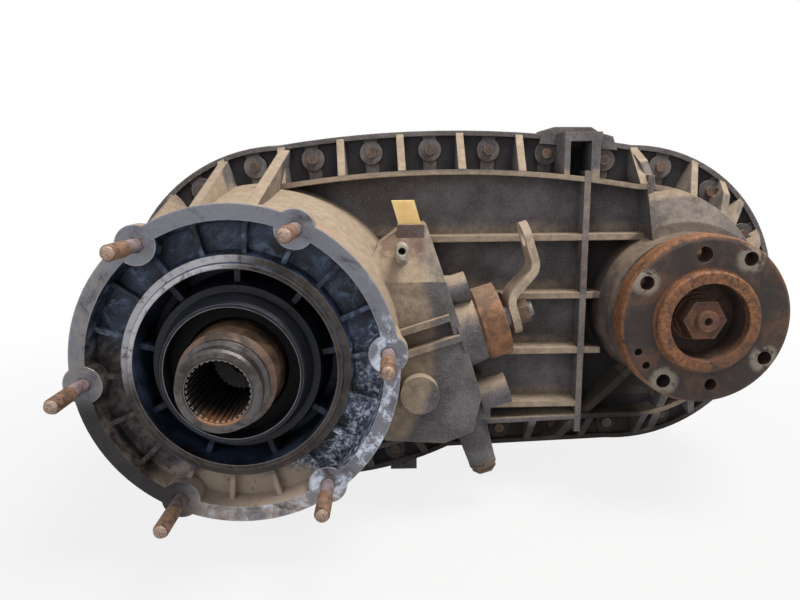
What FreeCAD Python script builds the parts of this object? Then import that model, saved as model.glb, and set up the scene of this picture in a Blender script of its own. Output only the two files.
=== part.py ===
import FreeCAD, Part
import Sketcher
import math
import os
import re
from FreeCAD import Placement, Rotation, Vector

# Two-speed, part-time, chain-driven transfer case.
# Frame: the origin is the centre of the round input mounting face, +X towards the front output
# shaft, +Y rearwards along the shafts and +Z up.  Millimetres and degrees.

os.makedirs("parts", exist_ok=True)
doc = FreeCAD.newDocument("TransferCase")

# ---------------------------------------------------------------- driving dimensions
SIZES = {
    # casing outline, seen along the shafts
    "main_rim_radius": 135,
    "rim_low_z": -140,
    "rim_left_x": -104.6,
    "rim_left_z": 78,
    "rim_shoulder_radius": 137,
    "front_rim_radius": 127,
    "front_rim_x": 300,
    "front_rim_z": 17,
    "rim_top_radius": 895,
    "rim_shoulder_x": 12,
    "rim_shoulder_z": 147,
    "rim_floor_left_x": 150,
    "rim_floor_left_z": -116,
    "rim_floor_right_x": 291,
    "rim_floor_right_z": -110.5,
    # casing stations along Y
    "rim_front": 140,
    "split_y": 152,
    "rim_back": 164,
    "wall_front": 125,
    "wall_inner": 132,
    "crest_y": 107,
    "rear_wall_inner": 229,
    "rear_wall_outer": 235,
    # casing walls
    "ledge_inset": 31,
    "ledge_width": 4,
    "lip_width": 4,
    "rib_width": 5,
    "wall_width": 6,
    "rear_inset": 25,
    "case_bolt_inset": 15,
    "case_bolt_pitch": 47.5,
    "case_bolt_radius": 4,
    "pad_radius": 9.3,
    "web_width": 6,
    # input snout
    "face_radius": 107.5,
    "face_inner_radius": 97,
    "stud_circle": 100,
    "stud_radius": 5,
    "stud_reach": 42,
    "stud_depth": 24,
    "stud_first_angle": 5,
    "ear_radius": 13,
    "register_outer": 75,
    "register_inner": 66.5,
    "bearing_seat": 50,
    # shafts
    "chain_pitch": 9.525,
    "chain_span_links": 35,
    "front_shaft_z": 14.5,
    "input_nose": -43.5,
    "input_nose_radius": 26,
    "input_neck_radius": 31,
    "input_seat_radius": 32.5,
    "main_shaft_radius": 20,
    # planetary gears
    "gear_module": 1.75,
    "sun_teeth": 50,
    "planet_teeth": 18,
    "ring_teeth": 86,
    "gear_front": 58,
    "gear_width": 26,
    # output flange
    "flange_radius": 63.5,
    "flange_face": 55,
    "flange_back": 72,
    "flange_hole_circle": 54,
    "flange_hole_radius": 5.25,
    "pilot_radius": 38,
    "pilot_bore": 29,
    "pilot_face": 49,
    # shift mechanism; its shaft leans up from +X
    "lean_angle": 17,
    "sector_x": 179,
    "sector_y": 86,
    "sector_z": 10,
    "rail_x": 122,
    "rail_z": -37,
    "rail_radius": 8,
    "housing_front": 58,
    "housing_skin": 8,
    "running_gap": 0.03,
}

sheet = doc.addObject("Spreadsheet::Sheet", "Dims")
for row, (alias, amount) in enumerate(SIZES.items(), start=1):
    sheet.set("A%d" % row, alias)
    sheet.set("B%d" % row, str(amount))
    sheet.setAlias("B%d" % row, alias)
doc.recompute()


def bound(text):
    """The expression with every alias named through the sheet."""
    def named(word):
        return "Dims." + word.group(0) if word.group(0) in SIZES else word.group(0)
    return re.sub(r"[a-z_]+", named, str(text))


def size(text):
    """The expression's value as a plain number."""
    return float(sheet.evalExpression(bound(text)))


def bind(thing, prop, text):
    thing.setExpression(prop, bound(text))


PARTS = {}


def node(name, thing):
    """Keeps a finished sub-part under the name of its file."""
    thing.Label = name
    PARTS[name] = thing
    return thing


def place(thing, x=0, y=0, z=0, turn=None):
    """Puts an object at a place given by expressions, turned by a rotation."""
    thing.Placement = Placement(Vector(size(x), size(y), size(z)), turn or Rotation())
    for axis, text in (("x", x), ("y", y), ("z", z)):
        if not isinstance(text, (int, float)):
            bind(thing, "Placement.Base." + axis, text)
    return thing


# ---------------------------------------------------------------- sketching
UPRIGHT = Rotation(Vector(1, 0, 0), 90)


def arc_through(start, end, radius):
    """An arc under half a turn that bulges to the left of the way from start to end."""
    middle = (start + end) * 0.5
    along = end - start
    left = Vector(-along.y, along.x, 0).normalize()
    rise = abs(radius) - math.sqrt(max(radius * radius - along.Length ** 2 / 4, 0))
    return Part.Arc(start, middle + left * math.copysign(rise, radius), end)


def draw(sketch, outline):
    """Draws a closed outline of (x, y) or (x, y, radius of the arc to the next point)."""
    spots = [Vector(size(corner[0]), size(corner[1]), 0) for corner in outline]
    heads = []
    for index, corner in enumerate(outline):
        start, end = spots[index], spots[(index + 1) % len(spots)]
        if len(corner) == 3:
            edge = sketch.addGeometry(arc_through(start, end, size(corner[2])), False)
            forward = sketch.getPoint(edge, 1).distanceToPoint(start) < 1e-6
            heads.append((edge, 1 if forward else 2))
            rule = sketch.addConstraint(
                Sketcher.Constraint("Radius", edge, abs(size(corner[2]))))
            bind(sketch, "Constraints[%d]" % rule, "abs(%s)" % corner[2])
        else:
            edge = sketch.addGeometry(Part.LineSegment(start, end), False)
            heads.append((edge, 1))
    for index, (edge, head) in enumerate(heads):
        after, next_head = heads[(index + 1) % len(heads)]
        sketch.addConstraint(Sketcher.Constraint("Coincident", edge, 3 - head, after, next_head))
        for kind, text, axis in (("DistanceX", outline[index][0], -2),
                                 ("DistanceY", outline[index][1], -1)):
            if abs(size(text)) < 1e-9:
                sketch.addConstraint(Sketcher.Constraint("PointOnObject", edge, head, axis))
                continue
            rule = sketch.addConstraint(
                Sketcher.Constraint(kind, -1, 1, edge, head, size(text)))
            bind(sketch, "Constraints[%d]" % rule, text)


def trace(sketch, points):
    """Draws a closed run of straight edges through worked-out points."""
    for index, point in enumerate(points):
        sketch.addGeometry(Part.LineSegment(point, points[(index + 1) % len(points)]), False)


def upright_sketch(name, turn=UPRIGHT, x=0, y=0, z=0):
    """A free sketch that stands across the shafts: its x is +X and its y is +Z."""
    sketch = doc.addObject("Sketcher::SketchObject", name)
    place(sketch, x, y, z, turn)
    return sketch


def turned(name, *profiles, x=0, y=0, z=0, turn=None):
    """A body turned round its own Y axis from closed profiles of (radius, y)."""
    body = doc.addObject("PartDesign::Body", name)
    plane = next(item for item in body.Origin.OriginFeatures if item.Role == "XY_Plane")
    for index, profile in enumerate(profiles):
        sketch = body.newObject("Sketcher::SketchObject", "%s_profile_%d" % (name, index))
        sketch.AttachmentSupport = (plane, [""])
        sketch.MapMode = "FlatFace"
        draw(sketch, profile)
        lathe = body.newObject("PartDesign::Revolution", "%s_turn_%d" % (name, index))
        lathe.Profile = sketch
        lathe.ReferenceAxis = (sketch, ["V_Axis"])
        lathe.Angle = 360
    place(body, x, y, z, turn)
    return body


def ring(inner, outer, front, back):
    """The profile of a plain ring."""
    return [(inner, front), (outer, front), (outer, back), (inner, back)]


def extrude(name, base, front, back):
    """Extrudes an upright sketch or offset rearwards between two stations."""
    solid = doc.addObject("Part::Extrusion", name)
    solid.Base = base
    solid.DirMode = "Custom"
    solid.Dir = (0, 1, 0)
    solid.Solid = True
    bind(solid, "LengthFwd", "(%s) - (%s)" % (back, front))
    place(solid, 0, front, 0)
    return solid


def plate(name, points, width, turn, base):
    """A flat plate of worked-out points, centred on its sketch plane."""
    sketch = doc.addObject("Sketcher::SketchObject", name + "_outline")
    trace(sketch, points)
    sketch.Placement = Placement(base, turn)
    solid = doc.addObject("Part::Extrusion", name)
    solid.Base = sketch
    solid.DirMode = "Normal"
    solid.Symmetric = True
    solid.Solid = True
    bind(solid, "LengthFwd", width)
    return solid


def cylinder(name, radius, length, base, axis=Vector(0, 1, 0)):
    """A plain round bar from base along axis."""
    bar = doc.addObject("Part::Cylinder", name)
    bind(bar, "Radius", radius)
    bind(bar, "Height", length)
    bar.Placement = Placement(base, Rotation(Vector(0, 0, 1), axis))
    return bar


def cone(name, radius, end_radius, length, base, axis=Vector(0, 1, 0)):
    """A tapered round bar from base along axis."""
    bar = doc.addObject("Part::Cone", name)
    bind(bar, "Radius1", radius)
    bind(bar, "Radius2", end_radius)
    bind(bar, "Height", length)
    bar.Placement = Placement(base, Rotation(Vector(0, 0, 1), axis))
    return bar


def hexagon(name, across_flats, length, base, axis=Vector(0, 1, 0)):
    """A hexagonal prism from base along axis."""
    prism = doc.addObject("Part::Prism", name)
    prism.Polygon = 6
    bind(prism, "Circumradius", "(%s) / sqrt(3)" % across_flats)
    bind(prism, "Height", length)
    prism.Placement = Placement(base, Rotation(Vector(0, 0, 1), axis))
    return prism


def block(name, x_range, y_range, z_range):
    """A box between two stations on each axis."""
    box = doc.addObject("Part::Box", name)
    for prop, (low, high) in zip(("Length", "Width", "Height"), (x_range, y_range, z_range)):
        bind(box, prop, "(%s) - (%s)" % (high, low))
    place(box, x_range[0], y_range[0], z_range[0])
    return box


def fuse(name, shapes):
    whole = doc.addObject("Part::MultiFuse", name)
    whole.Shapes = shapes
    return whole


def cut(name, base, tools):
    """Takes one or more tools out of a base."""
    tool = tools[0] if len(tools) == 1 else fuse(name + "_tools", tools)
    whole = doc.addObject("Part::Cut", name)
    whole.Base = base
    whole.Tool = tool
    return whole


def group(name, shapes):
    """Several separate solids kept as one node."""
    whole = doc.addObject("Part::Compound", name)
    whole.Links = shapes
    return whole


def polar(radius, degrees, y=0.0, centre=(0.0, 0.0)):
    """A point at an angle round a shaft, from +X towards +Z."""
    angle = math.radians(degrees)
    return Vector(centre[0] + radius * math.cos(angle), y, centre[1] + radius * math.sin(angle))


def rounded(sketch_points, name, front, back, x=0, z=0):
    """Extrudes worked-out (x, z) points rearwards, as for a toothed outline."""
    sketch = upright_sketch(name + "_outline", x=x, z=z)
    for loop in sketch_points:
        trace(sketch, loop)
    return extrude(name, sketch, front, back)


# ---------------------------------------------------------------- shared places
FRONT_SHAFT = (size("chain_pitch * chain_span_links"), size("front_shaft_z"))
LEAN = math.radians(size("lean_angle"))
ALONG = Vector(math.cos(LEAN), 0, math.sin(LEAN))
ACROSS = Vector(-math.sin(LEAN), 0, math.cos(LEAN))
SECTOR = Vector(size("sector_x"), size("sector_y"), size("sector_z"))
REAR = Vector(0, 1, 0)
UPRIGHT_LEAN = Rotation(ALONG, ACROSS, ALONG.cross(ACROSS), "XYZ")


def leaning(along, across, y=None):
    """A point given along and across the shift shaft."""
    spot = SECTOR + ALONG * along + ACROSS * across
    if y is not None:
        spot.y = y
    return spot


# ---------------------------------------------------------------- casing outline
def rim_corners():
    """The split flange's outline, clockwise from the bottom of the main bearing's end."""
    right_x = "front_rim_x + front_rim_radius"
    low = math.radians(-50)
    low_x = "front_rim_x + front_rim_radius * %.6f" % math.cos(low)
    low_z = "front_rim_z + front_rim_radius * %.6f" % math.sin(low)
    return [
        (0, "rim_low_z", "main_rim_radius"),
        ("rim_left_x", "rim_left_z", "rim_shoulder_radius"),
        ("rim_shoulder_x", "rim_shoulder_z", "rim_top_radius"),
        ("front_rim_x", "front_rim_z + front_rim_radius", "front_rim_radius"),
        (right_x, "front_rim_z", "front_rim_radius"),
        (low_x, low_z, "front_rim_radius"),
        ("rim_floor_right_x", "rim_floor_right_z"),
        ("rim_floor_left_x", "rim_floor_left_z", 270),
    ]


rim = upright_sketch("rim_outline")
draw(rim, rim_corners())


def inset(name, amount):
    """The rim's outline drawn inwards."""
    offset = doc.addObject("Part::Offset2D", name)
    offset.Source = rim
    bind(offset, "Value", "-(%s)" % amount)
    return offset


ledge_outer = inset("ledge_outer", "ledge_inset")
ledge_inner = inset("ledge_inner", "ledge_inset + ledge_width")
lip_inner = inset("lip_inner", "lip_width")
front_cavity = inset("front_cavity", "ledge_inset + wall_width - 1")
rear_outer = inset("rear_outer", "rear_inset")
rear_inner = inset("rear_inner", "rear_inset + wall_width")
bolt_line = inset("bolt_line", "case_bolt_inset")
doc.recompute()


BOLT_START = Vector(-8, 0, 131)
RIM_MIDDLE = Vector(150, 0, 5)


def rim_stations(line, pitch, start):
    """Evenly spaced points round a closed outline, the first one nearest to start."""
    wire = Part.Wire(Part.__sortEdges__(line.Shape.Edges))
    count = int(round(wire.Length / size(pitch)))
    fine = wire.discretize(Number=count * 40 + 1)[:-1]
    lead = min(range(len(fine)), key=lambda item: fine[item].distanceToPoint(start))
    spots = [fine[(lead + step * 20) % len(fine)] for step in range(count * 2)]
    return spots[0::2], spots[1::2]


def outward(line, spot):
    """The outline's normal at a point, away from the casing."""
    edge = min(line.Shape.Edges, key=lambda item: item.distToShape(Part.Vertex(spot))[0])
    tangent = edge.tangentAt(edge.Curve.parameter(spot))
    normal = tangent.cross(REAR).normalize()
    return normal if normal.dot(spot - RIM_MIDDLE) > 0 else normal * -1


bolt_spots, web_spots = rim_stations(bolt_line, "case_bolt_pitch", BOLT_START)
PAD_FACE = size("rim_front") - 2.5


def rim_pads(prefix, face, back):
    """Round bolt pads on the split flange, each with a neck to the rim and to the wall."""
    shapes = []
    for index, spot in enumerate(bolt_spots):
        base = Vector(spot.x, face, spot.z)
        shapes.append(cylinder("%s_pad_%d" % (prefix, index), "pad_radius",
                               "%g" % (back - face), base))
        normal = outward(bolt_line, spot)
        across = normal.cross(REAR)
        reach = [normal * -17 + across * 5.5, normal * 13 + across * 5.5,
                 normal * 13 - across * 5.5, normal * -17 - across * 5.5]
        turn = Rotation(Vector(1, 0, 0), Vector(0, 0, 1), Vector(0, -1, 0), "XZY")
        points = [Vector(point.x, point.z, 0) for point in reach]
        middle = Vector(spot.x, (face + back) / 2 + 0.5, spot.z)
        shapes.append(plate("%s_neck_%d" % (prefix, index), points,
                            "%g" % (back - face - 1), turn, middle))
    return shapes


def rim_webs(prefix, crest, foot, skip=()):
    """Three-cornered webs that tie the casing wall to the rim between the bolts."""
    shapes = []
    for index, spot in enumerate(web_spots):
        if index in skip:
            continue
        normal = outward(bolt_line, spot)
        turn = Rotation(normal, REAR, normal.cross(REAR), "XYZ")
        lift = 1 if foot > crest else -1
        points = [Vector(-18, crest, 0), Vector(-15.5, crest, 0),
                  Vector(14.2, foot - 3 * lift, 0), Vector(14.2, foot + lift, 0),
                  Vector(-18, foot + lift, 0)]
        shapes.append(plate("%s_web_%d" % (prefix, index), points, "web_width", turn,
                            Vector(spot.x, 0, spot.z)))
    return shapes


# ---------------------------------------------------------------- front casing
def snout():
    """The round front end: mounting face, ribbed trough, register and bearing hub."""
    wall = [
        ("face_inner_radius", 0), ("face_radius", 0), ("face_radius", 10),
        ("face_radius - 3.5", 15), (108, 60), (117, 130), (117, "rim_front"),
        (110, "rim_front"), (101, 60), (98, 24), (91, 24), (91, 92), (84, 92), (84, 50),
        (46, 50), (46, 42), ("bearing_seat", 42), ("bearing_seat", 6), (55, 6), (58, 20),
        (60, 37), (65.5, 37), ("register_inner", 12), ("register_inner", 0),
        ("register_inner + 3.2", 0), ("register_inner + 4", 2.4), ("register_outer", 3.2),
        (77, 15), (95, 15),
    ]
    return turned("snout", wall)


def stud_spots(y=0.0):
    first = size("stud_first_angle")
    return [polar(size("stud_circle"), first + 60 * step, y) for step in range(6)]


def snout_ears():
    """Round ears for the studs, each backed by a tapering boss along the snout."""
    shapes = []
    for index, spot in enumerate(stud_spots()):
        shapes.append(cylinder("ear_%d" % index, "ear_radius", 12, spot))
        shapes.append(cone("ear_boss_%d" % index, "ear_radius - 1", 7, 34,
                           spot + REAR * 12, REAR + polar(0.1, 65 + 60 * index)))
    return shapes


def spoke(name, degrees, inner, outer, front, back, width):
    """A radial rib inside the snout."""
    direction = polar(1, degrees)
    turn = Rotation(direction, REAR, direction.cross(REAR), "XYZ")
    points = [Vector(inner, front, 0), Vector(outer, front, 0),
              Vector(outer, back, 0), Vector(inner, back, 0)]
    return plate(name, points, width, turn, Vector(0, 0, 0))


def snout_spokes():
    """Eighteen shallow ribs in the outer trough and nine deep ones round the hub."""
    shapes = []
    for step in range(18):
        shapes.append(spoke("outer_spoke_%d" % step, 4 + 20 * step, 74, 99, 8, 17, "3.5"))
    for step in range(9):
        shapes.append(spoke("inner_spoke_%d" % step, 8 + 40 * step, 54, 69, 12, 39, "4"))
    return shapes


def snout_webs():
    """Long three-cornered webs from the rim to the snout's mounting flange."""
    shapes = []
    for index, spot in enumerate(web_spots):
        if spot.x > 40:
            continue
        normal = Vector(spot.x, 0, spot.z).normalize()
        turn = Rotation(normal, REAR, normal.cross(REAR), "XYZ")
        rim_reach = Vector(spot.x, 0, spot.z).Length + 12
        points = [Vector(102, 12, 0), Vector(104.5, 12, 0),
                  Vector(rim_reach, size("rim_front") - 1, 0),
                  Vector(rim_reach, size("rim_front") + 1, 0),
                  Vector(108, size("rim_front") + 1, 0)]
        shapes.append(plate("snout_web_%d" % index, points, "web_width + 2", turn,
                            Vector(0, 0, 0)))
    return shapes


def floor_ribs():
    """Upright and level ribs across the wide front wall."""
    half = size("rib_width") / 2
    foot = "wall_front + 1"
    shapes = []
    for index, (level, end) in enumerate(((72, 306), (25, 272), (-21, 273), (-67, 258))):
        shapes.append(block("level_rib_%d" % index, (100, end), ("crest_y", foot),
                            ("%g" % (level - half), "%g" % (level + half))))
    shapes.append(block("upright_rib_0", (257 - half, 257 + half), ("crest_y", foot), (-92, 124)))
    shapes.append(block("upright_rib_1", (307 - half, 307 + half), ("crest_y", foot), (60, 120)))
    return shapes


def output_boss():
    """The round boss that carries the front output bearing and seal."""
    wall = [(50, 85), (60, 85), (62, 88), (64, 112), (68, 130), (68, "wall_inner"),
            (44, "wall_inner"), (44, 123), (50, 123)]
    return turned("output_boss", wall, x="chain_pitch * chain_span_links", z="front_shaft_z")


def boss_fairing():
    """The shallow cone that fills the upper corner between the output boss and the ledge."""
    cone_wall = turned("fairing_cone", [(57, 90), (61, 92), (96, 107.5), (96, 131), (57, 131)],
                       x="chain_pitch * chain_span_links", z="front_shaft_z")
    corner = doc.addObject("Part::MultiCommon", "boss_fairing")
    corner.Shapes = [cone_wall, extrude("fairing_limit", ledge_outer, 88, 132),
                     block("fairing_corner", (305, 440), (88, 132), (0, 135))]
    return corner


def boss_webs():
    """Radial webs from the output boss to the rim."""
    shapes = []
    for index, degrees in enumerate((104, 66, 36, 4, -30, -62, -95, -128)):
        direction = polar(1, degrees)
        turn = Rotation(direction, REAR, direction.cross(REAR), "XYZ")
        centre = Vector(FRONT_SHAFT[0], 0, FRONT_SHAFT[1])
        line = Part.makeLine(centre, centre + direction * 260)
        reach = centre.distanceToPoint(line.distToShape(rim.Shape)[1][0][0])
        points = [Vector(58, 96, 0), Vector(63, 96, 0), Vector(reach - 14, 118, 0),
                  Vector(reach - 1, size("rim_front") - 1, 0),
                  Vector(reach - 1, size("rim_front") + 1, 0), Vector(58, 128, 0)]
        shapes.append(plate("boss_web_%d" % index, points, "web_width", turn, centre))
    return shapes


VENT_FOOT = Vector(110, 71, 52)
VENT_AXIS = Vector(0, -0.5, 1).normalize()
HOUSING = [(84, 60), (92, 70), (107, 81), (129, 86), (148, 27), (169, -42), (163, -70),
           (141, -79), (96, -76), (84, -62)]


def housing_outline(name, points):
    sketch = upright_sketch(name)
    trace(sketch, [Vector(x, z, 0) for x, z in points])
    return sketch


def shift_housing():
    """The block beside the snout that holds the shift shaft, with its bosses and ribs."""
    outline = housing_outline("housing_outline", HOUSING)
    shell = extrude("housing_block", outline, "housing_front", "wall_inner")
    slope = plate("housing_slope",
                  [Vector(46, 50, 0), Vector(46, size("housing_front"), 0), Vector(62, 66, 0),
                   Vector(95, 84, 0), Vector(95, 50, 0)],
                  120, Rotation(Vector(0, 0, 1), REAR, Vector(-1, 0, 0), "XYZ"),
                  Vector(120, 0, 0))
    face = size("housing_front")
    recess = plate("housing_recess",
                   [Vector(-86, 19, 0), Vector(-31, 19, 0), Vector(-31, 5, 0),
                    Vector(-86, 5, 0)], 10, UPRIGHT_LEAN, leaning(0, 0, face))
    shaped = cut("housing_shaped", shell, [slope, recess])
    pad = cylinder("rail_pad", 14.5, 20, Vector(size("rail_x"), face - 10, size("rail_z")))
    sector_boss = cone("sector_boss", 30, 27, 17, leaning(-27, 0), ALONG)
    upper_lug = cylinder("upper_lug", 11, 16, leaning(-26, 35, 74), ALONG)
    upper_flank = block("upper_flank", (140, 158), (68, 100), (30, 44))
    lower_lug = cylinder("lower_lug", 12, 23, leaning(-26, -53, 78), ALONG)
    lower_flank = block("lower_flank", (158, 178), (72, 126), (-66, -44))
    detent_boss = cone("detent_boss", 14, 11, 46, leaning(-39, -62), ACROSS * -1)
    vent_pad = block("vent_pad", (107, 127), (74, 92), (70, 86.5))
    tube_rib = plate("tube_rib",
                     [Vector(-90, 22, 0), Vector(-30, 22, 0), Vector(-30, 17, 0),
                      Vector(-90, 17, 0)], 20, UPRIGHT_LEAN, leaning(0, 0, face + 6))
    low_rib = plate("low_rib",
                    [Vector(-86, 5, 0), Vector(-27, 5, 0), Vector(-27, 0, 0),
                     Vector(-86, 0, 0)], 16, UPRIGHT_LEAN, leaning(0, 0, face + 4))
    return [shaped, pad, sector_boss, upper_lug, upper_flank, lower_lug, lower_flank,
            detent_boss, vent_pad, tube_rib, low_rib]


def top_lug(name, front, back):
    """The locating lug that stands up from the rim."""
    sketch = upright_sketch(name + "_outline")
    trace(sketch, [Vector(224, 146, 0), Vector(228, 156.5, 0), Vector(236, 159, 0),
                   Vector(266, 158.5, 0), Vector(273, 154, 0), Vector(284, 151, 0),
                   Vector(288, 140, 0)])
    return extrude(name, sketch, front, back)


def front_casing():
    rim_plate = extrude("front_rim", rim, "rim_front", "split_y")
    wall = extrude("front_wall_block", ledge_outer, "crest_y", "split_y")
    hollow = extrude("front_floor", ledge_inner, "crest_y - 20", "wall_front")
    lip = cut("front_lip", extrude("front_lip_block", rim, "rim_front - 4", "rim_front + 1"),
              [extrude("front_lip_hollow", lip_inner, "rim_front - 5", "rim_front + 2")])
    solids = [cut("front_wall", wall, [hollow]), rim_plate, lip, snout(), output_boss(),
              boss_fairing()]
    solids += snout_ears() + snout_spokes() + snout_webs() + floor_ribs() + boss_webs()
    solids += rim_pads("front", PAD_FACE, size("rim_front") + 1)
    solids += rim_webs("front", size("crest_y"), size("rim_front"), skip=(5,))
    solids += shift_housing()
    solids += [top_lug("front_top_lug", 134, "split_y"),
               block("lug_roof", (238, 267), ("crest_y", 141), (146.5, 153.5)),
               block("lug_side_0", (238, 242.5), ("crest_y", 141), (119, 150)),
               block("lug_side_1", (259, 266), ("crest_y", 141), (118, 150))]
    body = fuse("front_casting", solids)
    tools = [extrude("front_hollow", front_cavity, "wall_inner", "split_y + 1")]
    tools += [turned("planet_bore", [(0, 50), (84, 50), (84, 92), (91, 92), (91, 24.5),
                                     (97.5, 24.5), (100.5, 60), (109, 138), (0, 138)])]
    inner = housing_outline("housing_hollow_outline",
                            [(93, 52), (124, 52), (141, 24), (158, -34), (154, -62),
                             (138, -71), (96, -68)])
    tools += [extrude("housing_hollow", inner, "housing_front + housing_skin", "wall_inner + 1")]
    tools += [cylinder("output_bore", 44, 12, Vector(FRONT_SHAFT[0], 122, FRONT_SHAFT[1]))]
    tools += [cylinder("output_seat", 50, 39, Vector(FRONT_SHAFT[0], 84, FRONT_SHAFT[1]))]
    tools += [cylinder("stud_hole_%d" % index, "stud_radius", "stud_depth + 1", spot)
              for index, spot in enumerate(stud_spots(-1))]
    tools += [cylinder("front_bolt_hole_%d" % index, "case_bolt_radius", 24,
                       Vector(spot.x, 130, spot.z)) for index, spot in enumerate(bolt_spots)]
    tools += [cylinder("sector_hole", "8.5", 40, leaning(-50, 0), ALONG)]
    tools += [cylinder("detent_hole", 5, 70, leaning(-39, -110), ACROSS)]
    tools += [cylinder("rail_hole", "rail_radius", 12,
                       Vector(size("rail_x"), size("housing_front"), size("rail_z")))]
    tools += [cylinder("vent_hole", 4.5, 16, VENT_FOOT, VENT_AXIS),
              cylinder("collar_room", 29.3, 26, leaning(-10, 0), ALONG)]
    casing = cut("front_case", body, tools)
    return node("front_case", casing)


front_casing()


# ---------------------------------------------------------------- rear casing and extension
def rear_casing():
    """The chain cover behind the split, with its bearing bosses, ribs, lug and plug bosses."""
    shaft_x, shaft_z = FRONT_SHAFT
    solids = [extrude("rear_rim", rim, "split_y", "rim_back"),
              extrude("rear_wall", rear_outer, "split_y", "rear_wall_outer")]
    solids += [turned("main_boss", [(0, 225), (66, 225), (64, 238), (60, 250), (0, 250)])]
    solids += [turned("front_boss", [(0, 225), (50, 225), (46, 238), (42, 243), (0, 243)],
                      x="chain_pitch * chain_span_links", z="front_shaft_z")]
    solids += [block("case_foot", (99, 123), ("split_y", "rim_back"), (-145, -120))]
    solids += [top_lug("rear_top_lug", "split_y", "rim_back")]
    for index, (degrees, reach) in enumerate(((30, 240), (2, 265), (-12, 290), (-40, 138),
                                              (75, 112), (130, 112), (185, 112), (240, 112))):
        direction = polar(1, degrees)
        turn = Rotation(direction, REAR, direction.cross(REAR), "XYZ")
        points = [Vector(55, 233, 0), Vector(55, 247, 0), Vector(reach, 239, 0),
                  Vector(reach, 233, 0)]
        solids.append(plate("rear_rib_%d" % index, points, "web_width", turn, Vector(0, 0, 0)))
    for name, spot in (("fill", FILL), ("drain", DRAIN)):
        solids.append(cylinder(name + "_boss", 17, 14, spot - REAR * 14))
    solids += rim_pads("rear", size("rim_back") - 1, size("rim_back") + 2)
    solids += rim_webs("rear", 222, size("rim_back"))
    rail_end = Vector(size("rail_x"), 216, size("rail_z"))
    inner_solids = [cylinder("rear_rail_boss", 14, 16, rail_end),
                    turned("pocket_wall", [(17.5, 208), (43, 208), (43, 232), (17.5, 232)],
                           x="chain_pitch * chain_span_links", z="front_shaft_z")]
    hollow = extrude("rear_hollow", rear_inner, "split_y - 1", "rear_wall_inner")
    shell = fuse("rear_shell", [cut("rear_open", fuse("rear_outside", solids), [hollow])]
                 + inner_solids)
    tools = [cylinder("main_hole", 38, 40, Vector(0, 215, 0)),
             cylinder("front_seat", 36, 18, Vector(shaft_x, 212, shaft_z)),
             cylinder("front_seat_relief", 26, 26, Vector(shaft_x, 207, shaft_z)),
             cylinder("rear_rail_hole", "rail_radius", 13, rail_end - REAR * 1),
             cylinder("fill_hole", 11, 40, FILL - REAR * 25),
             cylinder("drain_hole", 11, 40, DRAIN - REAR * 25),
             cylinder("foot_hole", 4.5, 40, Vector(111, 140, -136))]
    tools += [cylinder("rear_bolt_hole_%d" % index, "case_bolt_radius", 18,
                       Vector(spot.x, 151, spot.z)) for index, spot in enumerate(bolt_spots)]
    tools += [cylinder("retainer_bolt_hole_%d" % index, 4, 12,
                       polar(54, 45 + 90 * index, 240)) for index in range(4)]
    node("rear_case", cut("rear_case", shell, tools))


FILL = Vector(205, 241, 60)
DRAIN = Vector(196, 241, -68)


def plugs():
    """Fill and drain plugs: a threaded body, a flange and a square recess each."""
    shapes = []
    for name, spot in (("fill_plug", FILL), ("drain_plug", DRAIN)):
        body = fuse(name + "_solid", [cylinder(name + "_shank", 11, 14, spot - REAR * 14),
                                      cylinder(name + "_flange", 15, 4, spot)])
        recess = block(name + "_recess", ("%g" % (spot.x - 4.8), "%g" % (spot.x + 4.8)),
                       ("%g" % (spot.y - 6), "%g" % (spot.y + 6)),
                       ("%g" % (spot.z - 4.8), "%g" % (spot.z + 4.8)))
        shapes.append(cut(name, body, [recess]))
    node("oil_plugs", group("oil_plugs_pair", shapes))


def rear_retainer():
    """The bolted rear bearing retainer, which also houses the oil pump."""
    wall = [(38, 250), (62, 250), (62, 262), (52, 268), (50, 296), (31, 296), (31, 290),
            (40, 290), (40, 256), (38, 256)]
    solids = [turned("retainer_wall", wall)]
    solids += [cylinder("retainer_ear_%d" % index, 11, 10, polar(54, 45 + 90 * index, 250))
               for index in range(4)]
    solids += [spoke("retainer_rib_%d" % index, 90 * index, 49, 60, 258, 292, "6")
               for index in range(4)]
    holes = [cylinder("retainer_hole_%d" % index, 4, 40, polar(54, 45 + 90 * index, 245))
             for index in range(4)]
    holes += [cylinder("retainer_spot_%d" % index, 9, 40, polar(54, 45 + 90 * index, 260))
              for index in range(4)]
    holes += [cylinder("extension_thread_%d" % index, 3, 14, polar(43.5, 45 + 90 * index, 284))
              for index in range(4)]
    node("rear_retainer", cut("rear_retainer", fuse("retainer_solid", solids), holes))


def extension_housing():
    """The tapering tail that guides the rear propeller shaft's sliding yoke."""
    wall = [(31, 296), (50, 296), (50, 305), (36, 309), (33, 352), (36, 356), (36, 372),
            (31, 372), (31, 360), (27, 360), (27, 330), (30, 324)]
    solids = [turned("extension_wall", wall)]
    solids += [spoke("extension_rib_%d" % index, 90 * index, 33, 44, 298, 340, "5")
               for index in range(4)]
    solids += [cylinder("sensor_boss", 13, 18.8, Vector(0, 316, 31.2), Vector(0, 0, 1))]
    holes = [cylinder("extension_hole_%d" % index, 3, 20, polar(43.5, 45 + 90 * index, 290))
             for index in range(4)]
    holes += [cylinder("extension_spot_%d" % index, 6.2, 20, polar(43.5, 45 + 90 * index, 305))
              for index in range(4)]
    holes += [cylinder("sensor_hole", 8, 40, Vector(0, 316, 20), Vector(0, 0, 1))]
    node("extension_housing", cut("extension_housing", fuse("extension_solid", solids), holes))


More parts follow.
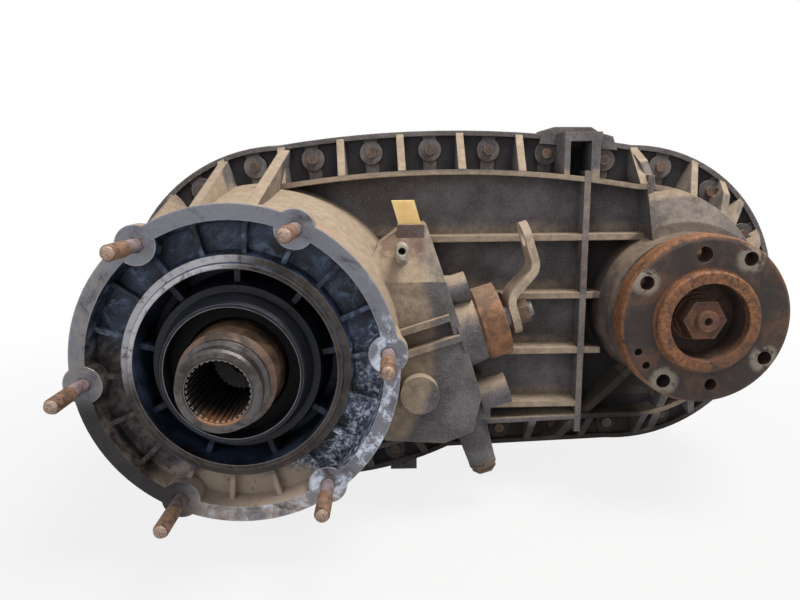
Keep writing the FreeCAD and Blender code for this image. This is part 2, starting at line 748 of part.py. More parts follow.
def speed_sensor():
    """The speedometer sensor in the extension housing."""
    sensor = fuse("sensor_solid", [
        cylinder("sensor_tip", 7.9, 28, Vector(0, 316, 24), Vector(0, 0, 1)),
        cylinder("sensor_collar", 12, 5, Vector(0, 316, 50), Vector(0, 0, 1)),
        block("sensor_plug", (-8, 8), (306, 326), (54, 68))])
    node("speed_sensor", sensor)


# ---------------------------------------------------------------- fasteners
def bolt(name, spot, shank, head, across, tip, seat, head_height=6):
    """A flanged hexagon bolt whose head points rearwards."""
    return fuse(name, [
        cylinder(name + "_shank", shank, "%g" % (seat - tip), Vector(spot.x, tip, spot.z)),
        cylinder(name + "_flange", head, 1.6, Vector(spot.x, seat, spot.z)),
        hexagon(name + "_head", across, head_height, Vector(spot.x, seat, spot.z))])


def fasteners():
    seat = size("rim_back") + 2
    node("case_bolts", group("case_bolts", [
        bolt("case_bolt_%d" % index, spot, "case_bolt_radius", 8, 13, 134.5, seat)
        for index, spot in enumerate(bolt_spots)]))
    node("retainer_bolts", group("retainer_bolts", [
        bolt("retainer_bolt_%d" % index, polar(54, 45 + 90 * index), 4, 8, 13, 240, 260)
        for index in range(4)]))
    node("extension_bolts", group("extension_bolts", [
        bolt("extension_bolt_%d" % index, polar(43.5, 45 + 90 * index), 3, 5.6, 9, 286, 305, 5)
        for index in range(4)]))
    studs = []
    reach = size("stud_reach")
    for index, spot in enumerate(stud_spots()):
        profile = [(0, "-stud_reach"), ("stud_radius - 1.2", "-stud_reach"),
                   ("stud_radius", "1.2 - stud_reach"), ("stud_radius", 0),
                   ("stud_radius - 0.08", 0), ("stud_radius - 0.08", 23), (0, 23)]
        studs.append(turned("stud_%d" % index, profile, x="%.6f" % spot.x, z="%.6f" % spot.z))
    node("input_studs", group("input_studs", studs))


# ---------------------------------------------------------------- bearings and seals
def bearing(name, bore, outer, front, back, balls, x=0, z=0):
    """A deep-groove ball bearing: two grooved races, a cage with holes and the balls."""
    centre = (size(x), size(z))
    pitch = (bore + outer) / 2
    ball = (outer - bore) * 0.29
    middle = (front + back) / 2
    lip = (outer - bore) * 0.27
    race = turned(name + "_races", ring("%g" % bore, "%g" % (bore + lip), front, back),
                  ring("%g" % (outer - lip), "%g" % outer, front, back), x=x, z=z)
    groove = doc.addObject("Part::Torus", name + "_groove")
    groove.Radius1 = pitch
    groove.Radius2 = ball + 0.15
    groove.Placement = Placement(Vector(centre[0], middle, centre[1]), UPRIGHT)
    grooved = cut(name + "_grooved", race, [groove])
    spheres = []
    for index in range(balls):
        spot = polar(pitch, 360 * index / balls, middle, centre)
        sphere = doc.addObject("Part::Sphere", "%s_ball_%d" % (name, index))
        sphere.Radius = ball
        sphere.Placement = Placement(spot, Rotation())
        spheres.append(sphere)
    return node(name, group(name, [grooved] + spheres))


def seal(name, inner, outer, front, back, x=0, z=0):
    """A lip seal: a pressed case with a lip that leans on the shaft."""
    profile = [(inner + 1.5, front), (outer, front), (outer, back), (outer - 2, back),
               (outer - 2, front + 2.5), (inner + 4, front + 2.5), (inner + 2, back - 1),
               (inner, back - 2)]
    return node(name, turned(name, profile, x=x, z=z))


def bearings_and_seals():
    span, lift = "chain_pitch * chain_span_links", "front_shaft_z"
    bearing("input_bearing", 32.55, 50, 24, 42, 12)
    bearing("rear_bearing", 20.05, 40, 266, 284, 9)
    bearing("output_front_bearing", 27.55, 50, 102, 123, 10, span, lift)
    bearing("output_rear_bearing", 17.55, 36, 212, 229, 9, span, lift)
    node("input_retainer", turned("input_retainer", [
        (43.5, -9.5), (45.8, -9.5), (47.2, -7), (49.9, 5), (49.9, 24), (40, 24), (40, 16),
        (43.5, 16)]))
    seal("input_seal", 32.6, 43.5, 5, 16)
    seal("output_seal", 29.85, 50, 87, 97, span, lift)
    seal("rear_seal", 24.2, 31, 361, 371)
    node("rear_bushing", turned("rear_bushing", ring(24.5, 27, 331, 359)))
    node("output_snap_ring", turned("output_snap_ring", ring(46, 50, 98.5, 101.5), x=span, z=lift))


# ---------------------------------------------------------------- gears
PRESSURE = math.radians(20)


def involute(angle):
    return math.tan(angle) - angle


def tooth_half_angle(teeth, radius, play):
    """Half the tooth's angular width at a radius, thinned by the play."""
    pitch = size("gear_module") * teeth / 2
    base = pitch * math.cos(PRESSURE)
    pressure_here = math.acos(min(base / radius, 1))
    return (math.pi / 2 / teeth + involute(PRESSURE) - involute(pressure_here)
            - play / 2 / pitch)


def gear_loop(teeth, add, dedend, play, turn=0.0):
    """The toothed outline of an external gear, or of a ring gear's hole."""
    module = size("gear_module")
    pitch = module * teeth / 2
    loop = []
    for index in range(teeth):
        middle = turn + 2 * math.pi * index / teeth
        for radius, side in ((pitch - dedend * module, -1), (pitch + add * module, -1),
                             (pitch + add * module, 1), (pitch - dedend * module, 1)):
            half = tooth_half_angle(teeth, radius, play)
            angle = middle + side * half
            loop.append(Vector(radius * math.cos(angle), radius * math.sin(angle), 0))
    return loop


def circle_loop(radius, count=96):
    return [Vector(radius * math.cos(2 * math.pi * step / count),
                   radius * math.sin(2 * math.pi * step / count), 0) for step in range(count)]


SUN, PLANET, RING = (int(size(name)) for name in ("sun_teeth", "planet_teeth", "ring_teeth"))
PLANET_ARM = size("gear_module") * (SUN + PLANET) / 2
PLAY = 0.34


def ring_gear():
    """The fixed ring gear, pressed into the snout."""
    sketch = upright_sketch("ring_outline")
    sketch.addGeometry(Part.Circle(Vector(0, 0, 0), Vector(0, 0, 1), 84), False)
    trace(sketch, gear_loop(RING, 1.25, 0.95, -PLAY, math.pi / RING))
    node("ring_gear", extrude("ring_gear", sketch, "gear_front - 2", "gear_front + gear_width + 2"))


def input_shaft():
    """The hollow input shaft with its female spline and the sun gear at its rear end."""
    wall = [
        (19.6, "input_nose"), (24.5, "input_nose"), ("input_nose_radius", "input_nose + 1.5"),
        ("input_nose_radius", -34.5), (28.5, -33), (28.5, -29.5), (27, -28), (27, -25.5),
        ("input_neck_radius", -22.5), ("input_neck_radius", -6),
        ("input_seat_radius", -2), ("input_seat_radius", 42), (37, 42), (37, 50), (40, 53),
        (40, 85), (36.5, 85), (36.5, 66), (14, 66), (14, 40), (10, 38), (10, 24), (19.6, 20)]
    body = turned("input_wall", wall)
    sketch = upright_sketch("sun_outline")
    trace(sketch, gear_loop(SUN, 0.95, 1.2, PLAY))
    sketch.addGeometry(Part.Circle(Vector(0, 0, 0), Vector(0, 0, 1), 38.5), False)
    sun = extrude("sun_teeth_solid", sketch, "gear_front", "gear_front + gear_width")
    teeth = spline_ring("input_spline", 34, 18.6, 20.6, 0.5, "input_nose + 1.5", 20)
    clutch = spline_ring("high_clutch", 30, 34.4, 37.5, 0.44, 70, 84)
    node("input_shaft", fuse("input_shaft", [body, sun, teeth, clutch]))


def spline_ring(name, count, tip, root, share, front, back, turn=0.0):
    """Internal spline teeth as short separate bars that stand inwards from a bore."""
    bars = []
    half = math.pi / count * share
    for index in range(count):
        middle = turn + 2 * math.pi * index / count
        points = [Vector(tip * math.cos(middle - half), tip * math.sin(middle - half), 0),
                  Vector(tip * math.cos(middle + half), tip * math.sin(middle + half), 0),
                  Vector(root * math.cos(middle + half), root * math.sin(middle + half), 0),
                  Vector(root * math.cos(middle - half), root * math.sin(middle - half), 0)]
        bars.append(points)
    sketch = upright_sketch(name + "_outline")
    for points in bars:
        trace(sketch, points)
    return extrude(name, sketch, front, back)


def spline_loop(count, tip, root, share):
    """An external spline's outline."""
    loop = []
    for index in range(count):
        middle = 2 * math.pi * index / count
        half = math.pi / count * share
        for radius, angle in ((root, middle - half * 1.15), (tip, middle - half),
                              (tip, middle + half), (root, middle + half * 1.15)):
            loop.append(Vector(radius * math.cos(angle), radius * math.sin(angle), 0))
    return loop


def splined(name, count, tip, root, share, inner, front, back):
    """A sleeve with external teeth and a round hole."""
    sketch = upright_sketch(name + "_outline")
    trace(sketch, spline_loop(count, tip, root, share))
    sketch.addGeometry(Part.Circle(Vector(0, 0, 0), Vector(0, 0, 1), inner), False)
    return extrude(name, sketch, front, back)


def planets():
    """Four planet gears, each on its own pin in the carrier."""
    pins = []
    for index in range(4):
        where = math.pi / 2 * index
        spot = polar(PLANET_ARM, 90 * index)
        # the tooth that faces the sun must stand in one of the sun's gaps
        turn = mesh_turn(where)
        sketch = upright_sketch("planet_%d_outline" % index, x=spot.x, z=spot.z)
        trace(sketch, gear_loop(PLANET, 0.9, 1.15, PLAY, turn))
        sketch.addGeometry(Part.Circle(Vector(0, 0, 0), Vector(0, 0, 1), 7.05), False)
        name = "planet_gear_%d" % (index + 1)
        node(name, extrude(name, sketch, "gear_front + 0.3", "gear_front + gear_width - 0.3"))
        pins.append(cylinder("planet_pin_%d" % index, 7, 39, spot + REAR * 53))
    node("planet_pins", group("planet_pins", pins))


def mesh_turn(where):
    """How far a planet at an angle round the sun is turned to mesh with it."""
    sun_phase = (where * SUN / (2 * math.pi)) % 1.0
    facing = where + math.pi
    return facing + (0.5 + sun_phase) * 2 * math.pi / PLANET


def planet_carrier():
    """The carrier: a front ring, a rear plate with the low clutch teeth, and four posts."""
    front = turned("carrier_front", ring(50, 70, 53, 57.5))
    rear = turned("carrier_rear", [(40.5, 84.6), (70, 84.6), (70, 92), (50, 92), (50, 103),
                                   (40.5, 103)])
    posts = []
    for index in range(4):
        posts.append(spoke("carrier_post_%d" % index, 45 + 90 * index, 51, 68, 57, 85, "16"))
    clutch = spline_ring("low_clutch", 30, 34.5, 41.5, 0.44, 92, 103)
    holes = [cylinder("carrier_hole_%d" % index, 7, 60,
                      polar(PLANET_ARM, 90 * index, 45)) for index in range(4)]
    solid = fuse("carrier_solid", [front, rear, clutch] + posts)
    node("planet_carrier", cut("planet_carrier", solid, holes))


# ---------------------------------------------------------------- main shaft
def main_shaft():
    wall = [(0, 42), (9.95, 42), (9.95, 67), (16, 68), ("main_shaft_radius", 70),
            ("main_shaft_radius", 146), (25, 146), (25, 193), (23.5, 194), (23.5, 215),
            (20, 216), (20, 300), (16, 303), (16, 350), (0, 350)]
    teeth = splined("rear_spline", 28, 17.5, 16, 0.5, 12, 306, 349)
    node("main_shaft", fuse("main_shaft", [turned("main_shaft_wall", wall), teeth]))
    node("pilot_bearing", turned("pilot_bearing", ring(10, 13.9, 43, 61)))
    node("mode_hub", splined("mode_hub", 24, 33.4, 31, 0.5, 23.5, 197, 211))
    node("main_snap_ring", turned("main_snap_ring", ring(23.5, 27, 211.5, 213.5)))


def range_hub():
    """The sliding collar that locks the main shaft to the input shaft or to the carrier."""
    collar = turned("range_collar", [(20.1, 72), (31, 72), (31, 108.5), (36, 108.5),
                                     (36, 111.5), (31.5, 111.5), (31.5, 118), (36, 118),
                                     (36, 121.5), (20.1, 121.5)])
    teeth = splined("range_teeth", 30, 34.1, 31, 0.42, 30, 73, 83)
    node("range_hub", fuse("range_hub", [collar, teeth]))


def mode_sleeve():
    """The sliding sleeve that locks the drive sprocket to the main shaft."""
    wall = turned("mode_sleeve_wall", [(34, 189), (42, 189), (42, 195.5), (38.5, 195.5),
                                       (38.5, 202.5), (42, 202.5), (42, 206), (34, 206)])
    teeth = spline_ring("mode_teeth", 24, 31.6, 34.5, 0.4, 189, 206, math.pi / 24)
    node("mode_sleeve", fuse("mode_sleeve", [wall, teeth]))


# ---------------------------------------------------------------- chain drive
SPROCKET_TEETH = int(size("chain_span_links"))
SPROCKET_PITCH = size("chain_pitch") / 2 / math.sin(math.pi / SPROCKET_TEETH)


def sprocket_loop(first_gap):
    """Trapezoid teeth whose gaps start at an angle."""
    step = 2 * math.pi / SPROCKET_TEETH
    loop = []
    for index in range(SPROCKET_TEETH):
        middle = first_gap + (index + 0.5) * step
        for radius, half in ((SPROCKET_PITCH - 3.6, -3.0), (SPROCKET_PITCH + 1.4, -1.1),
                             (SPROCKET_PITCH + 1.4, 1.1), (SPROCKET_PITCH - 3.6, 3.0)):
            angle = middle + half / radius
            loop.append(Vector(radius * math.cos(angle), radius * math.sin(angle), 0))
    return loop


CHAIN_TURN = math.atan2(FRONT_SHAFT[1], FRONT_SHAFT[0])
CHAIN_SPAN = math.hypot(*FRONT_SHAFT)


def sprocket(name, centre, first_gap, bore, front, back, hub):
    sketch = upright_sketch(name + "_teeth_outline", x=centre[0], z=centre[1])
    trace(sketch, sprocket_loop(first_gap))
    sketch.addGeometry(Part.Circle(Vector(0, 0, 0), Vector(0, 0, 1), bore + 1), False)
    teeth = extrude(name + "_teeth", sketch, front, back)
    web = turned(name + "_hub", hub, x="%.6f" % centre[0], z="%.6f" % centre[1])
    return [teeth, web]


def chain():
    """The silent chain: one band whose inner teeth sit in the sprockets' gaps."""
    pitch = size("chain_pitch")
    step = 2 * math.pi / SPROCKET_TEETH
    inner_tip, inner_root, outer = -2.7, 2.1, 7.4
    inner, outside = [], []
    for link in range(3 * SPROCKET_TEETH):
        for shift, height in ((-0.5, None), (-0.3, inner_root), (-0.12, inner_tip),
                              (0.12, inner_tip), (0.3, inner_root)):
            spot, normal = chain_place((link + shift) * pitch, pitch, step)
            if height is None:
                outside.append(spot + normal * (outer - 1.2))
                continue
            inner.append(spot + normal * height)
            if abs(shift) == 0.3:
                outside.append(spot + normal * outer)
    sketch = upright_sketch("chain_outline")
    trace(sketch, inner)
    trace(sketch, outside)
    node("chain", extrude("chain", sketch, 160, 190))


def chain_place(way, pitch, step):
    """A point on the pitch line and the outward normal, after a way round the loop."""
    span = SPROCKET_TEETH * pitch
    half = span / 2
    length = 3 * span
    way = way % length
    axis = Vector(math.cos(CHAIN_TURN), math.sin(CHAIN_TURN), 0)
    up = Vector(-axis.y, axis.x, 0)
    if way < half:
        angle = CHAIN_TURN + math.pi / 2 + way / pitch * step
        normal = Vector(math.cos(angle), math.sin(angle), 0)
        return normal * SPROCKET_PITCH, normal
    if way < half + span:
        return axis * (way - half) - up * SPROCKET_PITCH, up * -1
    if way < 2 * half + span:
        angle = CHAIN_TURN - math.pi / 2 + (way - half - span) / pitch * step
        normal = Vector(math.cos(angle), math.sin(angle), 0)
        return axis * span + normal * SPROCKET_PITCH, normal
    return axis * (length - way) + up * SPROCKET_PITCH, up


def chain_drive():
    step = 2 * math.pi / SPROCKET_TEETH
    start = CHAIN_TURN + math.pi / 2
    far = CHAIN_TURN - math.pi / 2 + step / 2
    dogs = splined("drive_dogs", 24, 33.4, 31, 0.5, 28, 187, 193)
    node("drive_sprocket", fuse("drive_sprocket", sprocket(
        "drive_sprocket", (0, 0), start, 40, 162, 188,
        [(25.05, 158), (32, 158), (36, 162), (48, 162), (48, 188), (30, 188), (30, 192),
         (25.05, 192)]) + [dogs]))
    node("driven_sprocket", fuse("driven_sprocket", sprocket(
        "driven_sprocket", FRONT_SHAFT, far, 40, 162, 188,
        [(24, 158), (32, 158), (36, 166), (48, 166), (48, 184), (36, 184), (32, 192),
         (24, 192)])))
    chain()


# ---------------------------------------------------------------- front output
def front_output():
    span, lift = "chain_pitch * chain_span_links", "front_shaft_z"
    centre = Vector(FRONT_SHAFT[0], 0, FRONT_SHAFT[1])
    shaft = turned("output_shaft_wall", [
        (0, 60), (3.2, 59), (3.2, 51.5), (7.4, 51.5), (8.2, 52.5), (8.2, 78), (20, 78), (20, 100),
        (27.5, 101),
        (27.5, 126), (24, 128), (24, 195), (21, 196), (21, 210), (17.5, 211), (17.5, 230),
        (0, 230)], x=span, z=lift)
    node("front_output_shaft", shaft)
    flange = turned("flange_wall", [
        ("pilot_bore", "pilot_face"), ("pilot_radius - 1.5", "pilot_face"),
        ("pilot_radius", "pilot_face + 1.5"), ("pilot_radius", "flange_face"),
        ("flange_radius - 4", "flange_face"), ("flange_radius - 1.2", "flange_face + 1.2"),
        ("flange_radius", "flange_face + 4"), ("flange_radius", "flange_back"),
        (46, "flange_back + 1"), (38, 75), (34, 78), (29.8, 80), (29.8, 99), (20, 99), (20, 77),
        ("pilot_bore - 2", 77), ("pilot_bore", 74)], x=span, z=lift)
    holes = [cylinder("flange_hole_%d" % index, "flange_hole_radius", 30,
                      polar(size("flange_hole_circle"), 57.5 + 90 * index, 50, FRONT_SHAFT))
             for index in range(4)]
    holes += [cylinder("relief_hole_%d" % index, radius, 30,
                       polar(49.5, degrees, 50, FRONT_SHAFT))
              for index, (degrees, radius) in enumerate(((96, 6), (-82, 4.6)))]
    holes += [cylinder("balance_hole_%d" % index, 3, 12,
                       polar(54, degrees, 50, FRONT_SHAFT))
              for index, degrees in enumerate((205, 218))]
    node("front_output_flange", cut("front_output_flange", flange, holes))
    node("flange_washer", turned("flange_washer", ring(8.3, 19, 74, 77), x=span, z=lift))
    nut = cut("flange_nut_cut", fuse("flange_nut_solid", [
        hexagon("flange_nut_hex", 28, 17, centre + REAR * 57),
        cylinder("flange_nut_collar", 16.5, 3, centre + REAR * 71)]),
        [cylinder("flange_nut_bore", 8.2, 30, centre + REAR * 50)])
    node("flange_nut", nut)
    node("output_slinger", turned("output_slinger", [
        (29.9, 80), (46, 80), (54, 82.5), (54, 84.2), (45, 82), (29.9, 82)], x=span, z=lift))


# ---------------------------------------------------------------- shift mechanism
def shift_mechanism():
    rail = Vector(size("rail_x"), 0, size("rail_z"))
    node("shift_rail", cylinder("shift_rail", "rail_radius", 167, rail + REAR * 60))
    shaft = cylinder("sector_bar", "8.4", 65, leaning(-44, 0), ALONG)
    tang = cylinder("sector_thread", 6, 13, leaning(20.5, 0), ALONG)
    fan = []
    arm = 42
    for degrees in range(-17, 12, 4):
        angle = math.radians(degrees)
        fan.append(Vector(-arm * math.cos(angle), arm * math.sin(angle), 0))
    fan += [Vector(-10, 12, 0), Vector(4, 12, 0), Vector(10, 0, 0), Vector(4, -12, 0),
            Vector(-10, -12, 0)]
    across_turn = Rotation(ACROSS, REAR, ACROSS.cross(REAR), "XYZ")
    leaf = plate("sector_leaf", fan, "4", across_turn, leaning(-39, 0))
    slot = plate("sector_slot", [Vector(-24.7, -3.7, 0), Vector(-28.3, -4, 0),
                                 Vector(-38.4, -8.6, 0), Vector(-38.4, -0.4, 0),
                                 Vector(-28.3, 4, 0), Vector(-24.7, 3.9, 0)],
                 "8", across_turn, leaning(-39, 0))
    node("sector_shaft", cut("sector_shaft", fuse("sector_solid", [shaft, tang, leaf]), [slot]))
    onto_shaft = Rotation(REAR, ALONG)
    collar = turned("sector_collar", [(8.8, -10), (26.5, -10), (28.5, -8), (28.5, 9), (25, 10),
                                      (25, 7), (12, 7), (12, 0), (8.8, 0)])
    collar.Placement = Placement(SECTOR, onto_shaft)
    node("sector_collar", collar)
    lip = turned("sector_seal", [(9.5, 0), (12, 0), (12, 5), (9, 5), (8.45, 4)])
    lip.Placement = Placement(SECTOR, onto_shaft)
    node("sector_seal", lip)
    lever()
    nut = cut("lever_nut_cut", hexagon("lever_nut_hex", 17, 9, leaning(21.3, 0), ALONG),
              [cylinder("lever_nut_bore", 6, 20, leaning(15, 0), ALONG)])
    node("lever_nut", nut)


def bent_strip(corners, radius, width, steps=6):
    """The outline of a flat bar bent round the corners of its centre line."""
    spots = [Vector(*corner, 0) for corner in corners]
    line = [spots[0]]
    for before, bend, after in zip(spots, spots[1:], spots[2:]):
        back, ahead = (before - bend).normalize(), (after - bend).normalize()
        half = back.getAngle(ahead) / 2
        start = bend + back * (radius / math.tan(half))
        end = bend + ahead * (radius / math.tan(half))
        centre = bend + (back + ahead).normalize() * (radius / math.sin(half))
        for step in range(steps + 1):
            chord = start + (end - start) * (step / steps)
            line.append(centre + (chord - centre).normalize() * radius)
    line.append(spots[-1])
    sides = ([], [])
    for index, spot in enumerate(line):
        along = line[min(index + 1, len(line) - 1)] - line[max(index - 1, 0)]
        left = Vector(-along.y, along.x, 0).normalize() * (width / 2)
        sides[0].append(spot + left)
        sides[1].append(spot - left)
    return sides[0] + sides[1][::-1]


def lever():
    """The joggled flat lever that the gear-change linkage hooks into."""
    strip = bent_strip([(18, -17), (18, 15), (44, 31), (44, 70)], 12, 6)
    profile = plate("lever_profile", strip, "40", UPRIGHT_LEAN, leaning(0, 0))
    face = upright_sketch("lever_face_outline")
    face.Placement = Placement(leaning(0, 0), Rotation(ACROSS, REAR, ACROSS.cross(REAR), "XYZ"))
    draw(face, [(0, 15, -15), (-15, 0, -15), (0, -15), (55.5, -11.5, -11.5),
                (67, 0, -11.5), (55.5, 11.5)])
    outline = doc.addObject("Part::Extrusion", "lever_face")
    outline.Base = face
    outline.DirMode = "Normal"
    outline.Symmetric = True
    outline.Solid = True
    outline.LengthFwd = 160
    common = doc.addObject("Part::MultiCommon", "lever_blank")
    common.Shapes = [profile, outline]
    node("shift_lever", cut("shift_lever", common, [
        cylinder("lever_bore", "8.4", 20, leaning(8, 0), ALONG),
        cylinder("lever_eye", 7.5, 40, leaning(25, 55.5), ALONG)]))


def fork(name, hub_front, hub_back, arm_front, arm_back, inner, outer):
    """A fork: a tube on the rail and a half-ring arm that rides in a collar's groove."""
    rail = polar(1, 0) * size("rail_x") + Vector(0, 0, size("rail_z"))
    tube = cylinder(name + "_tube", 13, "%g" % (hub_back - hub_front), rail + REAR * hub_front)
    away = math.degrees(math.atan2(rail.z, rail.x))
    reach = rail.Length
    half_ring = turned(name + "_ring", ring(inner, outer, arm_front, arm_back))
    keep = spoke(name + "_keep", away, 0.5 - 14, reach, arm_front - 1, arm_back + 1, "200")
    half = doc.addObject("Part::MultiCommon", name + "_half")
    half.Shapes = [half_ring, keep]
    arm = spoke(name + "_arm", away, (inner + outer) / 2, reach - 6, arm_front, arm_back, "20")
    bore = cylinder(name + "_bore", "rail_radius + running_gap", 200, rail + REAR * 40)
    return [half, arm, tube], bore


def forks():
    solids, bore = fork("range_fork", 71, 118, 112, 117.5, 32.2, 46)
    pin = cylinder("range_pin", 3.2, 27, leaning(-62, -28.3), ALONG)
    node("range_fork", cut("range_fork", fuse("range_fork_solid", solids + [pin]), [bore]))
    solids, bore = fork("mode_fork", 190, 205, 196, 202, 39, 54)
    node("mode_fork", cut("mode_fork", fuse("mode_fork_solid", solids), [bore]))


def detent():
    """The plug, spring and ball that hold the sector in its positions."""
    down = ACROSS * -1
    node("detent_ball", sphere_at("detent_ball", 4, leaning(-39, -46.6)))
    node("detent_spring", cut("detent_spring_cut", cylinder(
        "detent_spring_tube", 4.2, 44, leaning(-39, -50), down),
        [cylinder("detent_spring_bore", 3.2, 50, leaning(-39, -48), down)]))
    plug = fuse("detent_plug_solid", [
        cylinder("detent_plug_shank", 5, 13, leaning(-39, -95), down),
        cylinder("detent_plug_flange", 11, 4, leaning(-39, -108), down),
        hexagon("detent_plug_hex", 17, 7, leaning(-39, -110), down)])
    node("detent_plug", plug)


def sphere_at(name, radius, spot):
    ball = doc.addObject("Part::Sphere", name)
    ball.Radius = radius
    ball.Placement = Placement(spot, Rotation())
    return ball


def breather():
    """The breather elbow and the plastic clip above it."""
    stem = cylinder("vent_stem", 4.5, 20, VENT_FOOT, VENT_AXIS)
    head = VENT_FOOT + VENT_AXIS * 20
    pipe_end = head - REAR * 13
    elbow = sphere_at("vent_elbow", 5.2, head)
    tube = cut("vent_tube_cut", cylinder("vent_pipe", 4.2, 13, pipe_end),
               [cylinder("vent_pipe_bore", 2.6, 10, pipe_end - REAR)])
    node("vent_tube", fuse("vent_tube", [stem, elbow, tube]))
    sketch = upright_sketch("clip_outline")
    trace(sketch, [Vector(108, 86.5, 0), Vector(125, 86.5, 0), Vector(120, 104, 0),
                   Vector(103, 104, 0)])
    node("harness_clip", extrude("harness_clip", sketch, 80, 86))


# ---------------------------------------------------------------- lubrication
def lubrication():
    pump = turned("pump_wall_ring", [(21.5, 243), (38, 243), (38, 256), (21.5, 256)])
    pocket = cylinder("pump_pocket", 30, 9, Vector(2.5, 245, 0))
    node("oil_pump_body", cut("oil_pump_body", pump, [pocket]))
    node("oil_pump_rotor", rounded([spline_loop(9, 26.5, 23.5, 0.6), circle_loop(20.1, 64)],
                                   "oil_pump_rotor", 245.3, 253.7))
    route = [Vector(0, 243, -30), Vector(0, 224.4, -30), Vector(0, 224.4, -97)]
    node("pickup_tube", pipe("pickup_tube", route, 4, 9))
    node("pickup_screen", block("screen_box", (-16, 16), (200, 228), (-104, -97)))
    node("sump_magnet", cylinder("sump_magnet", 12, 5, Vector(120, 224, -80)))


def pipe(name, route, radius, bend):
    """A round pipe along straight runs joined by arcs."""
    edges = []
    start = route[0]
    for before, corner, after in zip(route, route[1:], route[2:]):
        inward = (corner - before).normalize()
        onward = (after - corner).normalize()
        turn = math.acos(max(-1, min(1, inward.dot(onward))))
        trim = bend * math.tan(turn / 2)
        first, last = corner - inward * trim, corner + onward * trim
        middle = (onward - inward).normalize()
        centre = corner + middle * (bend / math.cos(turn / 2))
        edges.append(Part.makeLine(start, first))
        edges.append(Part.Arc(first, centre - middle * bend, last).toShape())
        start = last
    edges.append(Part.makeLine(start, route[-1]))
    section = Part.Wire(Part.makeCircle(radius, route[0], (route[1] - route[0]).normalize()))
    solid = Part.Wire(edges).makePipeShell([section], True, True)
    feature = doc.addObject("Part::Feature", name)
    feature.Shape = solid
    return feature


rear_casing()
plugs()
rear_retainer()
extension_housing()
speed_sensor()
fasteners()
bearings_and_seals()
ring_gear()
input_shaft()
planets()
planet_carrier()
main_shaft()
range_hub()
mode_sleeve()
chain_drive()
front_output()
shift_mechanism()
forks()
detent()
breather()
lubrication()


# ---------------------------------------------------------------- checks and files
doc.recompute()
for thing in doc.Objects:
    if "Invalid" in thing.State or "Error" in thing.State:
        raise RuntimeError("%s did not build: %s" % (thing.Name, thing.State))
for name, thing in PARTS.items():
    shape = thing.Shape
    if shape.isNull() or not shape.isValid() or not shape.Solids:
        raise RuntimeError("%s is not a valid solid" % name)
for name, thing in PARTS.items():
    thing.Shape.exportStep("parts/%s.step" % name)
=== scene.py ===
import math

import bpy
from mathutils import Matrix, Vector


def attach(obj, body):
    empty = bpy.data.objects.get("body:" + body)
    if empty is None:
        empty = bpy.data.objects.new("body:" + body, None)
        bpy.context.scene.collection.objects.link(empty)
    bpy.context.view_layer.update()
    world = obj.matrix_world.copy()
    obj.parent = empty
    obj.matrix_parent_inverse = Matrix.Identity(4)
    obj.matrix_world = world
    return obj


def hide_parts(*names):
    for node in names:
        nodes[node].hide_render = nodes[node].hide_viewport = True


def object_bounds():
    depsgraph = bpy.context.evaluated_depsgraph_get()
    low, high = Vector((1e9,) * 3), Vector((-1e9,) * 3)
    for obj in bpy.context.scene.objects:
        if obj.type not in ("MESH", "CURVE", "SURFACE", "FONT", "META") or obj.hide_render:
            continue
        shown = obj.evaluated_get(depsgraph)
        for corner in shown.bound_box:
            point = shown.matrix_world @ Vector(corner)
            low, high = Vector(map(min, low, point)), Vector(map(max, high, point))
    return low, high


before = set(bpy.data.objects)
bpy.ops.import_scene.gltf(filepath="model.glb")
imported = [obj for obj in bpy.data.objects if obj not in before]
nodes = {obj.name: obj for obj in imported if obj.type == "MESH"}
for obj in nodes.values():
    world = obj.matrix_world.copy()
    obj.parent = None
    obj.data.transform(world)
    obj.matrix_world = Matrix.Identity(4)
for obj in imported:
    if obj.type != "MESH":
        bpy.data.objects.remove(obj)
cad_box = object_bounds()

# ---------------------------------------------------------------- view and light
# The unit is seen from a little above its input end. A broad soft light hangs over it, a
# weaker one stands in front, and the pale floor keeps its shadow.
VIEW_FROM = Vector((0.10276, -0.40316, 0.12523))
VIEW_ALONG = Vector((0.011747, 0.980580, -0.195767))
VIEW_UP = Vector((0.014878, 0.195588, 0.980573))
SENSOR_WIDTH = 36.0
LENS = 29.011
NEAREST = 0.01
WHITE = (1.0, 1.0, 1.0)
AMBIENT = (0.93, 0.96, 1.0)
AMBIENT_STRENGTH = 0.24
FLOOR_GREY = (0.5, 0.5, 0.5)
FLOOR_SIZE = 16.0
FLOOR_Z = cad_box[0][2] - 0.001

camera_data = bpy.data.cameras.new("camera")
camera_data.sensor_width = SENSOR_WIDTH
camera_data.lens = LENS
camera_data.clip_start = NEAREST
camera = bpy.data.objects.new("camera", camera_data)
bpy.context.scene.collection.objects.link(camera)
view_right = VIEW_ALONG.cross(VIEW_UP)
camera.matrix_world = Matrix.Translation(VIEW_FROM) @ Matrix(
    (view_right, VIEW_UP, -VIEW_ALONG)).transposed().to_4x4()
bpy.context.scene.camera = camera
bpy.context.scene.view_settings.view_transform = "Standard"


def lamp(name, place, aim, size, power, colour):
    """A soft square lamp that points from its place to its aim."""
    light = bpy.data.lights.new(name, "AREA")
    light.size = size
    light.energy = power
    light.color = colour
    holder = bpy.data.objects.new(name, light)
    bpy.context.scene.collection.objects.link(holder)
    holder.matrix_world = Matrix.Translation(place) @ (
        Vector(aim) - Vector(place)).to_track_quat("-Z", "Y").to_matrix().to_4x4()


lamp("sky_lamp", place=(0.62, -0.22, 1.45), aim=(0.12, 0.08, 0.0), size=0.75, power=29.0,
     colour=(1.0, 0.965, 0.91))
lamp("front_lamp", place=(-0.7, -1.5, 0.8), aim=(0.1, 0.1, 0.0), size=1.3, power=8.0,
     colour=(0.90, 0.94, 1.0))


